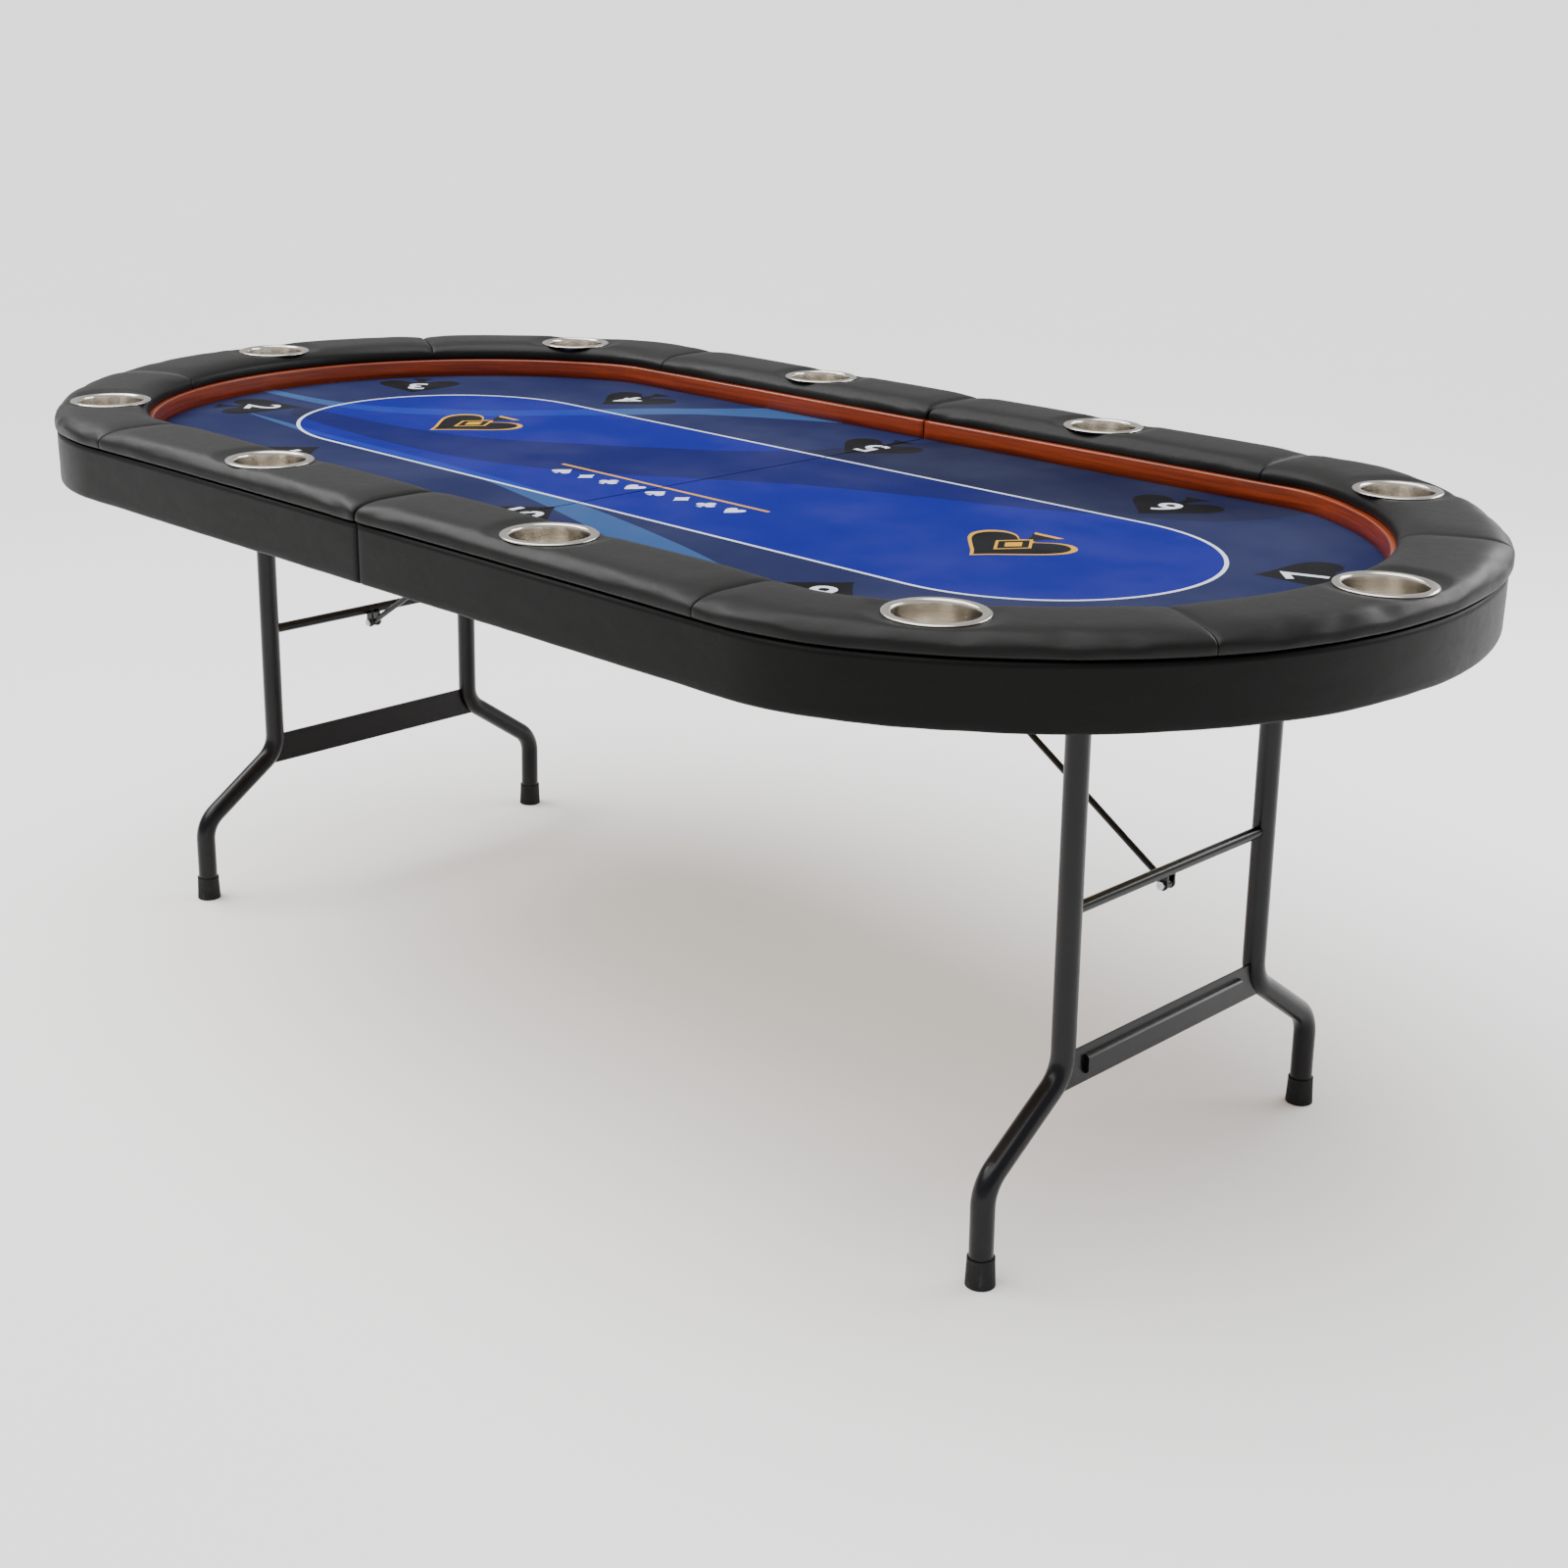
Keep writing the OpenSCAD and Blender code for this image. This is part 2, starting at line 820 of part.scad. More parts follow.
// ---- left half ----
left_side() board();  // left_board
left_side() foam();  // left_foam
left_side() cloth();  // left_cloth
left_side() wood_band();  // left_wood_band
left_side() rail_base();  // left_rail_base
left_side() pad(0);  // left_pad_front
left_side() pad(1);  // left_pad_front_corner
left_side() pad(2);  // left_pad_end
left_side() pad(3);  // left_pad_rear_corner
left_side() pad(4);  // left_pad_rear
left_side() skirt();  // left_skirt
left_side() fold_rail();  // left_fold_rail
left_side() cup_holders();  // left_cup_holders
left_side() hinge_leaves();  // left_hinge_leaves
left_side() hinge_pins();  // left_hinge_pins
left_side() leg_brackets();  // left_leg_brackets
left_side() pivot_rod();  // left_pivot_rod
left_side() brace_anchor();  // left_brace_anchor
left_side() screws();  // left_screws
left_side() front_side() leg_tube();  // left_leg_tube_front
left_side() leg_tube();  // left_leg_tube_rear
left_side() crossbar();  // left_crossbar
left_side() spreader_plate();  // left_spreader_plate
left_side() foot_caps();  // left_foot_caps
left_side() brace_tab();  // left_brace_tab
left_side() brace_bolt();  // left_brace_bolt
left_side() brace_lower();  // left_brace_lower
left_side() brace_upper();  // left_brace_upper

// ---- fold ----
hinge_links();
latch(-1);  // latch_front
latch(1);  // latch_rear
latch_pins();
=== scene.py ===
import json
import math

import bmesh
import bpy
import numpy as np
from mathutils import Matrix, Vector, geometry, noise


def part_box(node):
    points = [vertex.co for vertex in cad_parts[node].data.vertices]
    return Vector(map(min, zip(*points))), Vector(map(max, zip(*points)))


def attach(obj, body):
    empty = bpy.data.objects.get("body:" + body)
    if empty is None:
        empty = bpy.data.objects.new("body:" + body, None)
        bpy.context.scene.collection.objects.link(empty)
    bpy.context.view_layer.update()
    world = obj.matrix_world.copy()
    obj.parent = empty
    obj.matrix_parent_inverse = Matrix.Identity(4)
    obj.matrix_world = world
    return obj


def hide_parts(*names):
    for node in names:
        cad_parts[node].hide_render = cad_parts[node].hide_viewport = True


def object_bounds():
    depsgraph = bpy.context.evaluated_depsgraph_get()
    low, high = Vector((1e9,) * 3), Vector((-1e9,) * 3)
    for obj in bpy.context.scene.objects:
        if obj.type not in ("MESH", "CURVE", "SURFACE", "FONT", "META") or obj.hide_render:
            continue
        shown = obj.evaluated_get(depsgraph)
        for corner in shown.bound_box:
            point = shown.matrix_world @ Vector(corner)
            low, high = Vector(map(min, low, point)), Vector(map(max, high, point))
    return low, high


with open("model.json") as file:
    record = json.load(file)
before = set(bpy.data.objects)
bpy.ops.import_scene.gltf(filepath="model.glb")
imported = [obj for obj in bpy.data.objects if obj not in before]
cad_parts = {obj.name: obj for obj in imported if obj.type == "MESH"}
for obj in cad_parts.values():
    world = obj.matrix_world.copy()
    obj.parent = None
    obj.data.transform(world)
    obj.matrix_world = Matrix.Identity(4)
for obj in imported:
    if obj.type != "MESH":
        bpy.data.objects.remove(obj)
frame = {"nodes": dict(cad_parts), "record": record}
CAD_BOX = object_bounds()

bl_info = {
    "name": "Folding Card Table",
    "version": (1, 0, 0),
    "blender": (4, 5, 0),
    "location": "3D View > Sidebar > Card Table",
    "description": "Rail pads, printed cloth, wood band, cup holders and finishes of a folding card table",
    "category": "Add Mesh",
}

SIDES = (("right", 1), ("left", -1))
SKIRT_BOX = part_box("right_skirt")
BAND_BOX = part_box("right_wood_band")
PAD_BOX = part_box("right_pad_end")
CUP_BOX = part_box("right_cup_holders")
CLOTH_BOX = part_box("right_cloth")


def colour(name, description, default):
    """A colour that a user may change, given as sRGB numbers from 0 to 255."""
    linear = [(c / 255 / 12.92) if c <= 10 else ((c / 255 + 0.055) / 1.055) ** 2.4 for c in default]
    return bpy.props.FloatVectorProperty(
        name=name, description=description, default=linear, min=0, max=1, size=3, subtype="COLOR"
    )


def length(name, description, default):
    """A length in metres that a user may change."""
    return bpy.props.FloatProperty(
        name=name, description=description, default=default, min=0, unit="LENGTH", precision=4
    )


class TableSizes(bpy.types.PropertyGroup):
    """Sizes of the rail, the cloth and the cups."""
    end_length: length("End length", "Distance from the tip of the oval back to its corner arcs", 0.459)
    corner_radius: length("Corner radius", "Radius of the corner arcs", 0.282)
    rail_width: length("Rail width", "Width from the skirt's face to the cloth", 0.130)
    band_thickness: length("Band thickness", "Thickness of the wood band", 0.012)
    pad_bulge: length("Pad bulge", "How far the pads swell past the skirt", 0.0045)
    pad_crown: length("Pad crown", "Height of the crown above the widest part of a pad", 0.0195)
    seam_back: length("Seam distance", "Distance from the straight seam to the corner arc", 0.043)
    seam_angle: bpy.props.FloatProperty(
        name="Seam angle", description="Angle of the seams beside the end pad", default=math.radians(29),
        subtype="ANGLE"
    )
    pillow: length("Pillow end", "Length over which a pad rounds down to its seam", 0.011)
    cup_radius: length("Cup radius", "Inner radius of a cup holder", 0.044)
    rim_radius: length("Rim radius", "Outer radius of a cup holder's rim", 0.055)
    grid: length("Mesh grid", "Spacing of the mesh on the soft pieces", 0.0055)
    line_radius: length("Line radius", "Radius of the ends of the printed line", 0.223)
    line_half: length("Line half length", "Half the length of the printed line's straight part", 0.544)
    line_width: length("Line width", "Width of the printed line", 0.0052)
    mark_height: length("Mark height", "Height of a printed seat mark", 0.130)


class TableColours(bpy.types.PropertyGroup):
    """Colours of the table's finishes."""
    rail: colour("Rail vinyl", "Colour of the rail pads", (11, 10, 9))
    skirt: colour("Skirt vinyl", "Colour of the skirt", (6, 6, 5))
    cloth_outer: colour("Outer cloth", "Cloth between the rail and the printed line", (20, 27, 66))
    cloth_inner: colour("Inner cloth", "Cloth inside the printed line", (0, 10, 112))
    swoosh_inner: colour("Inner sweep", "Darker sweep across the inner cloth", (0, 8, 78))
    swoosh_outer: colour("Outer sweep", "Darker sweep across the outer cloth", (14, 20, 50))
    ribbon_inner: colour("Inner ribbon", "Light ribbon inside the printed line", (10, 38, 130))
    ribbon_outer: colour("Outer ribbon", "Light ribbon outside the printed line", (40, 70, 116))
    line: colour("Printed line", "Printed line and numerals", (200, 205, 216))
    mark: colour("Seat mark", "Printed seat marks", (2, 2, 3))
    gold: colour("Gold print", "Gold outlines", (196, 146, 20))
    wood: colour("Wood stain", "Main tone of the wood band", (124, 42, 0))
    steel: colour("Steel", "Cup holders", (214, 208, 198))
    zinc: colour("Zinc", "Plated hardware", (190, 194, 200))
    paint: colour("Leg paint", "Powder coat of the legs and braces", (1, 1, 5))
    rubber: colour("Rubber", "Foot caps", (12, 12, 13))


# ---- shader maths ----


class Value:
    """A shader socket that adds Math nodes when it is used in an expression."""

    def __init__(self, finish, socket):
        self.finish, self.socket = finish, socket

    def maths(self, operation, *values):
        return self.finish.node("ShaderNodeMath", {"operation": operation}, dict(enumerate(values)))

    def __add__(self, other):
        return self.maths("ADD", self, other)

    def __sub__(self, other):
        return self.maths("SUBTRACT", self, other)

    def __rsub__(self, other):
        return self.maths("SUBTRACT", other, self)

    def __mul__(self, other):
        return self.maths("MULTIPLY", self, other)

    def smooth(self, low, high):
        return self.finish.node(
            "ShaderNodeMapRange", {"interpolation_type": "SMOOTHSTEP"}, {0: self, 1: low, 2: high}
        )

    __radd__, __rmul__ = __add__, __mul__


class Finish:
    """A material whose Principled shader takes its constants at once and its varying sockets later."""

    def __init__(self, name, **constants):
        self.material = bpy.data.materials.new(name)
        self.material.use_nodes = True
        self.tree = self.material.node_tree
        self.tree.nodes.clear()
        self.shader = self.tree.nodes.new("ShaderNodeBsdfPrincipled")
        output = self.tree.nodes.new("ShaderNodeOutputMaterial")
        self.tree.links.new(self.shader.outputs[0], output.inputs[0])
        for socket, value in constants.items():
            self.shader.inputs[socket.replace("_", " ")].default_value = value

    def node(self, kind, settings, sockets, output=0):
        """Adds a node, sets it up, and returns one of its outputs."""
        made = self.tree.nodes.new(kind)
        for name, value in settings.items():
            setattr(made, name, value)
        for key, value in sockets.items():
            self.feed(made.inputs[key], value)
        return Value(self, made.outputs[output])

    def feed(self, socket, value):
        if isinstance(value, Value):
            self.tree.links.new(value.socket, socket)
        else:
            socket.default_value = value

    def spot(self, kind="Object"):
        """The point on the piece, in its own coordinates or its UV map."""
        return self.node("ShaderNodeTexCoord", {}, {}, kind)

    def stretched(self, spot, scale):
        return self.node("ShaderNodeVectorMath", {"operation": "MULTIPLY"}, {0: spot, 1: scale})

    def noise(self, spot, scale, detail=3.0, roughness=0.55, distortion=0.0):
        return self.node(
            "ShaderNodeTexNoise", {},
            {
                "Vector": spot, "Scale": scale, "Detail": detail, "Roughness": roughness,
                "Distortion": distortion
            }
        )

    def cells(self, spot, scale, feature="F1"):
        return self.node("ShaderNodeTexVoronoi", {"feature": feature}, {"Vector": spot, "Scale": scale})

    def mix(self, factor, first, second):
        made = self.tree.nodes.new("ShaderNodeMix")
        made.data_type = "RGBA"
        for socket, value in zip((made.inputs[0], made.inputs[6], made.inputs[7]), (factor, first, second)):
            self.feed(socket, value)
        return Value(self, made.outputs[2])

    def bump(self, height, strength, distance, below=None):
        sockets = {"Height": height, "Strength": strength, "Distance": distance}
        if below is not None:
            sockets["Normal"] = below
        return self.node("ShaderNodeBump", {}, sockets)

    def connect(self, **sockets):
        for name, value in sockets.items():
            self.feed(self.shader.inputs[name.replace("_", " ")], value)
        return self.material


def tint(rgb, factor):
    """An RGBA colour, made lighter or darker."""
    return tuple(min(1.0, c * factor) for c in rgb) + (1.0,)


def vinyl(name, rgb, shine, base_rough, grain, wrinkle):
    """Embossed vinyl with a fine pebble grain, painted shade in the grooves between the pebbles, faint
    handling marks and slow waves in its sheen.
    """
    made = Finish(name, Specular_IOR_Level=shine)
    spot = made.spot()
    pebble = made.cells(spot, grain, "SMOOTH_F1")
    fine = made.noise(spot, grain * 2.5, 2.0)
    slow = made.noise(spot, 7.0, 4.0, 0.6, 0.4)
    folds = made.noise(made.stretched(spot, (1.0, 1.0, 2.2)), 26.0, 2.0, 0.5, 1.2)
    scuff = made.noise(spot, 90.0, 5.0, 0.7)
    shade = made.mix(slow.smooth(0.3, 0.7), tint(rgb, 0.82), tint(rgb, 1.22))
    # Painted shade: the grooves between the pebbles, which the bump below sets low, are darkened to 0.7 of
    # the colour.
    shade = made.mix((pebble * 0.55).smooth(0.25, 0.5), shade, tint(rgb, 0.7))
    rough = base_rough + (slow - 0.5) * 0.14 + (scuff - 0.5) * 0.12
    relief = made.bump(pebble * -0.7 + fine * 0.3, 0.28, 0.0005)
    return made.connect(Base_Color=shade, Roughness=rough, Normal=made.bump(folds, wrinkle, 0.004, relief))


def printed_cloth():
    """Speed cloth: the print comes from the ink attribute, under a tight twill with stray fibres."""
    made = Finish("printed_cloth_finish", Specular_IOR_Level=0.06)
    spot = made.spot()
    ink = made.node("ShaderNodeAttribute", {"attribute_name": "ink"}, {})
    warp = made.node(
        "ShaderNodeTexWave", {"bands_direction": "DIAGONAL"},
        {"Vector": spot, "Scale": 330.0, "Distortion": 0.6, "Detail": 1.0}
    )
    weft = made.node(
        "ShaderNodeTexWave", {"bands_direction": "Y"},
        {"Vector": spot, "Scale": 420.0, "Distortion": 0.4, "Detail": 1.0}
    )
    weave = warp * 0.5 + weft * 0.5
    fibre = made.noise(spot, 2200.0, 2.0)
    slow = made.noise(spot, 5.0, 3.0)
    worn = made.mix(weave * 0.16 + fibre * 0.14, ink, made.mix(0.55, ink, (0.02, 0.02, 0.03, 1.0)))
    shade = made.mix(slow.smooth(0.35, 0.75) * 0.12, worn, made.mix(0.12, ink, (0.8, 0.85, 1.0, 1.0)))
    rough = 0.72 + (fibre - 0.5) * 0.2 + (slow - 0.5) * 0.1
    return made.connect(
        Base_Color=shade, Roughness=rough, Normal=made.bump(weave * 0.6 + fibre * 0.5, 0.35, 0.0004)
    )


def stained_wood(rgb):
    """Varnished wood with its grain along the band, from the band's UV map."""
    made = Finish("stained_wood_finish", Coat_Roughness=0.18, Specular_IOR_Level=0.5)
    spot = made.spot("UV")
    grain = made.noise(made.stretched(spot, (7.0, 260.0, 1.0)), 1.0, 5.0, 0.62, 0.6)
    pores = made.noise(made.stretched(spot, (38.0, 1500.0, 1.0)), 1.0, 2.0)
    figure = made.noise(made.stretched(spot, (2.2, 60.0, 1.0)), 1.0, 3.0, 0.5, 1.4)
    shade = made.mix(grain.smooth(0.32, 0.68), tint(rgb, 0.62), tint(rgb, 1.35))
    shade = made.mix(pores.smooth(0.58, 0.72) * 0.65, shade, tint(rgb, 0.28))
    shade = made.mix(
        figure.smooth(0.4, 0.7) * 0.45, shade, tint((rgb[0] * 1.25, rgb[1] * 1.5, rgb[2] * 1.3), 1.2)
    )
    rough = 0.30 + grain * 0.12 + pores * 0.06
    return made.connect(
        Base_Color=shade, Roughness=rough, Coat_Weight=0.35 - pores * 0.1,
        Normal=made.bump(pores * -1.0 + grain * 0.4, 0.25, 0.0004)
    )


def raw_wood(name, rgb, along, layers):
    """Bare softwood or plywood: grain along one direction, and plies across its edge."""
    made = Finish(name, Specular_IOR_Level=0.35)
    spot = made.spot()
    grain = made.noise(made.stretched(spot, along), 1.0, 6.0, 0.62, 1.0)
    knots = made.cells(made.stretched(spot, tuple(0.09 * a for a in along)), 1.0)
    speck = made.noise(spot, 900.0, 2.0)
    height = made.node("ShaderNodeSeparateXYZ", {}, {0: spot}, 2)
    ply = made.node("ShaderNodeMath", {"operation": "FRACT"}, {0: height * layers}).smooth(0.35, 0.65)
    shade = made.mix(grain.smooth(0.3, 0.7), tint(rgb, 0.72), tint(rgb, 1.15))
    shade = made.mix((1 - knots.smooth(0.05, 0.3)) * 0.4, shade, tint(rgb, 0.35))
    shade = made.mix(ply * 0.22, shade, tint(rgb, 0.5))
    rough = 0.62 + grain * 0.2 + (speck - 0.5) * 0.12
    return made.connect(Base_Color=shade, Roughness=rough, Normal=made.bump(grain + speck * 0.4, 0.3, 0.0006))


def cup_steel(rgb):
    """Spun stainless steel: fine rings from the lathe, faint turning marks and finger smears."""
    made = Finish("stainless_steel_finish", Metallic=1.0, Anisotropic=0.6, Anisotropic_Rotation=0.25)
    spot = made.spot("UV")
    rings = made.noise(made.stretched(spot, (2.5, 2600.0, 1.0)), 1.0, 3.0, 0.6)
    coarse = made.noise(made.stretched(spot, (5.0, 420.0, 1.0)), 1.0, 2.0)
    smear = made.noise(made.spot(), 26.0, 4.0, 0.6, 0.8)
    shade = made.mix(rings.smooth(0.3, 0.7), tint(rgb, 0.78), tint(rgb, 1.10))
    rough = 0.13 + rings * 0.12 + smear.smooth(0.45, 0.75) * 0.08
    return made.connect(
        Base_Color=shade, Roughness=rough, Normal=made.bump(rings * 0.6 + coarse * 0.4, 0.18, 0.0003)
    )


def plated(name, rgb, base_rough):
    """Zinc plating: a soft mottle, small pits and dulled patches."""
    made = Finish(name, Metallic=1.0)
    spot = made.spot()
    mottle = made.noise(spot, 60.0, 4.0, 0.6, 0.5)
    pits = made.cells(spot, 700.0)
    brushed = made.noise(made.stretched(spot, (90.0, 1400.0, 1400.0)), 1.0, 2.0)
    shade = made.mix(mottle.smooth(0.35, 0.7), tint(rgb, 0.62), tint(rgb, 1.05))
    shade = made.mix(1 - pits.smooth(0.02, 0.1), shade, tint(rgb, 0.35))
    rough = base_rough + mottle * 0.16 + (brushed - 0.5) * 0.1
    return made.connect(
        Base_Color=shade, Roughness=rough, Normal=made.bump(brushed * 0.5 + pits * 0.5, 0.15, 0.0003)
    )


def powder_coat(rgb):
    """Semi-gloss powder coat with a fine orange peel, fine specks of dust and rubbed patches."""
    made = Finish("black_steel_finish", Specular_IOR_Level=0.22, Coat_Roughness=0.12)
    spot = made.spot()
    peel = made.noise(spot, 420.0, 2.0, 0.5)
    slow = made.noise(spot, 16.0, 4.0, 0.6, 0.6)
    dust = made.noise(spot, 1500.0, 2.0)
    shade = made.mix(slow.smooth(0.4, 0.75) * 0.6, tint(rgb, 0.9), tint(rgb, 1.7))
    shade = made.mix(dust.smooth(0.66, 0.8) * 0.25, shade, (0.09, 0.09, 0.1, 1.0))
    rough = 0.24 + slow * 0.14 + (peel - 0.5) * 0.08
    return made.connect(
        Base_Color=shade, Roughness=rough, Coat_Weight=0.14 - slow * 0.08,
        Normal=made.bump(peel, 0.16, 0.0006)
    )


def rubber(rgb):
    """Moulded rubber, matt with a fine spark texture and dusty scuffs near the sole."""
    made = Finish("black_rubber_finish", Specular_IOR_Level=0.3)
    spot = made.spot()
    spark = made.noise(spot, 1300.0, 3.0)
    scuff = made.noise(made.stretched(spot, (1.0, 1.0, 0.35)), 130.0, 5.0, 0.7)
    height = made.node("ShaderNodeSeparateXYZ", {}, {0: spot}, 2)
    low = 1 - height.smooth(0.0, 0.02)
    shade = made.mix(scuff.smooth(0.5, 0.75) * (0.25 + low * 0.5), tint(rgb, 1.0), (0.05, 0.048, 0.045, 1.0))
    rough = 0.62 + scuff * 0.2 + low * 0.08
    return made.connect(Base_Color=shade, Roughness=rough, Normal=made.bump(spark + scuff * 0.5, 0.3, 0.0004))


def closed_foam():
    """Grey closed-cell foam with open pores where it is cut, and painted shade inside the pores."""
    made = Finish("foam_finish", Specular_IOR_Level=0.2)
    spot = made.spot()
    pores = made.cells(spot, 1400.0)
    slow = made.noise(spot, 40.0)
    # Painted shade: the pores, the low parts of the bump, run down to a near-black grey.
    shade = made.mix(pores.smooth(0.1, 0.5), (0.05, 0.05, 0.055, 1.0), (0.16, 0.16, 0.17, 1.0))
    return made.connect(
        Base_Color=made.mix(slow * 0.4, shade, (0.09, 0.09, 0.1, 1.0)), Roughness=0.85 + slow * 0.1,
        Normal=made.bump(pores, 0.5, 0.0005)
    )


def finish(name):
    """The finish of one of the record's material slots, made once."""
    ready = bpy.data.materials.get(name + "_finish")
    if ready:
        return ready
    hue = bpy.context.scene.card_table_colours
    makers = {
        "rail_vinyl": lambda: vinyl("rail_vinyl_finish", hue.rail, 0.20, 0.44, 950.0, 0.10),
        "skirt_vinyl": lambda: vinyl("skirt_vinyl_finish", hue.skirt, 0.12, 0.46, 1100.0, 0.06),
        "printed_cloth": printed_cloth,
        "stained_wood": lambda: stained_wood(hue.wood),
        "plywood": lambda: raw_wood("plywood_finish", (0.46, 0.32, 0.18), (9.0, 150.0, 150.0), 700.0),
        "rail_pine": lambda: raw_wood("rail_pine_finish", (0.50, 0.34, 0.19), (170.0, 7.0, 170.0), 0.0),
        "stainless_steel": lambda: cup_steel(hue.steel),
        "zinc_steel": lambda: plated("zinc_steel_finish", hue.zinc, 0.26),
        "black_steel": lambda: powder_coat(hue.paint),
        "black_rubber": lambda: rubber(hue.rubber),
        "foam": closed_foam,
    }
    return makers[name]()


# ---- the outline of a half ----


class Outline:
    """The right half's outline, walked from the front of the fold round the end to the rear."""

    def __init__(self):
        size = bpy.context.scene.card_table_sizes
        self.fold = SKIRT_BOX[0][0]
        self.tip, self.side = SKIRT_BOX[1][0], SKIRT_BOX[1][1]
        self.radius = size.corner_radius
        self.corner = (self.tip - size.end_length, self.side - self.radius)
        cut = size.end_length - self.radius
        self.tip_x = (self.tip - self.radius + self.corner[0]) / 2 - self.corner[1] ** 2 / (2 * cut)
        self.tip_radius = self.tip - self.tip_x
        self.turn = math.atan2(self.corner[1], self.corner[0] - self.tip_x)
        self.straight = self.corner[0] - self.fold
        self.bend = self.radius * (math.pi / 2 - self.turn)
        self.length = 2 * self.straight + 2 * self.bend + 2 * self.turn * self.tip_radius
        tip_start = self.straight + self.bend
        seam = self.tip_radius * (self.turn - size.seam_angle)
        back = self.straight - size.seam_back
        self.seams = (
            0.0, back, tip_start + seam, self.length - tip_start - seam, self.length - back, self.length
        )

    def at(self, run):
        """The point of the outline at a distance along it, and its outward direction."""
        if run > self.length / 2:
            point, out = self.at(self.length - run)
            return (point[0], -point[1]), (out[0], -out[1])
        if run <= self.straight:
            return (self.fold + run, -self.side), (0.0, -1.0)
        centre, radius = (self.corner[0], -self.corner[1]), self.radius
        angle = -math.pi / 2 + (run - self.straight) / radius
        if run > self.straight + self.bend:
            centre, radius = (self.tip_x, 0.0), self.tip_radius
            angle = -self.turn + (run - self.straight - self.bend) / radius
        out = (math.cos(angle), math.sin(angle))
        return (centre[0] + radius * out[0], centre[1] + radius * out[1]), out

    def loop(self, inset, step=0.006):
        """The closed outline drawn in by a distance, as points."""
        count = int(self.length / step)
        rows = [self.at(self.length * i / count) for i in range(count + 1)]
        return [(p[0] - o[0] * inset, p[1] - o[1] * inset) for p, o in rows]


def object_of(name, mesh, body, slot_name, smooth=True):
    """A new piece from a mesh, with its finish, riding on a body."""
    made = bpy.data.objects.new(name, mesh)
    bpy.context.scene.collection.objects.link(made)
    if smooth:
        mesh.polygons.foreach_set("use_smooth", [True] * len(mesh.polygons))
    mesh.materials.clear()
    mesh.materials.append(finish(slot_name))
    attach(made, body)
    return made


def loft(name, outline, runs, section):
    """A closed skin along the outline. section gives the (inset, z) points at a run.

    The UV map holds run and girth.
    """
    mesh = bmesh.new()
    layer = mesh.loops.layers.uv.new("along")
    rings, girths = [], []
    for run in runs:
        point, out = outline.at(run)
        shape = section(run)
        rings.append([mesh.verts.new((point[0] - out[0] * i, point[1] - out[1] * i, z)) for i, z in shape])
        girth = [0.0]
        for a, b in zip(shape, shape[1:] + shape[:1]):
            girth.append(girth[-1] + math.dist(a, b))
        girths.append(girth)
    count = len(rings[0])
    for i in range(len(rings) - 1):
        for j in range(count):
            k = (j + 1) % count
            face = mesh.faces.new((rings[i][j], rings[i][k], rings[i + 1][k], rings[i + 1][j]))
            corners = ((i, j), (i, j + 1), (i + 1, j + 1), (i + 1, j))
            for loop, (a, b) in zip(face.loops, corners):
                loop[layer].uv = (runs[a], girths[a][b])
    mesh.faces.new(list(reversed(rings[0])))
    mesh.faces.new(rings[-1])
    bmesh.ops.recalc_face_normals(mesh, faces=mesh.faces)
    data = bpy.data.meshes.new(name)
    mesh.to_mesh(data)
    mesh.free()
    return data


def spaced(start, end, step):
    """Evenly spaced numbers from start to end, no further apart than the step."""
    count = max(2, math.ceil((end - start) / step))
    return [start + (end - start) * i / count for i in range(count + 1)]


def mirrored(mesh, name, x=1, y=1):
    """A copy of a mesh, mirrored through the middle of the table."""
    copy = mesh.copy()
    copy.name = name
    copy.transform(Matrix.Diagonal((x, y, 1, 1)))
    if x * y < 0:
        copy.flip_normals()
    return copy


# ---- rail pads ----


SECTION_POINTS = 52
PAD_SINK = 0.0035
SEAM_GAP = 0.0004
SEAM_DEPTH = 0.36
FOLD_DEPTH = 0.85
SEAM_ROUND = 2.4
SWELL_LIMIT = 0.0045
SMOOTHING_ROUNDS = 5


def pad_section(size, fullness, sink):
    """The (inset, z) points round a pad. Fullness is 1 in its middle and less towards a seam."""
    base, widest = PAD_BOX[0][2] + 0.0003, PAD_BOX[0][2] + 0.0085
    inner = size.rail_width - size.band_thickness + 0.0065
    outer = -size.pad_bulge
    middle, half = (inner + outer) / 2, (inner - outer) / 2
    half -= 0.0035 * (1 - fullness)
    crown = (size.pad_crown - sink) * (0.42 + 0.58 * fullness)
    points = []
    for i in range(SECTION_POINTS):
        angle = 2 * math.pi * i / SECTION_POINTS
        c, s = math.cos(angle), math.sin(angle)
        wide = math.copysign(abs(c) ** (2 / 3.6), c) * half
        tall = math.copysign(abs(s) ** (2 / (3.0 if s > 0 else 5.0)), s)
        points.append((middle - wide, widest + tall * (crown if s > 0 else widest - base)))
    return points


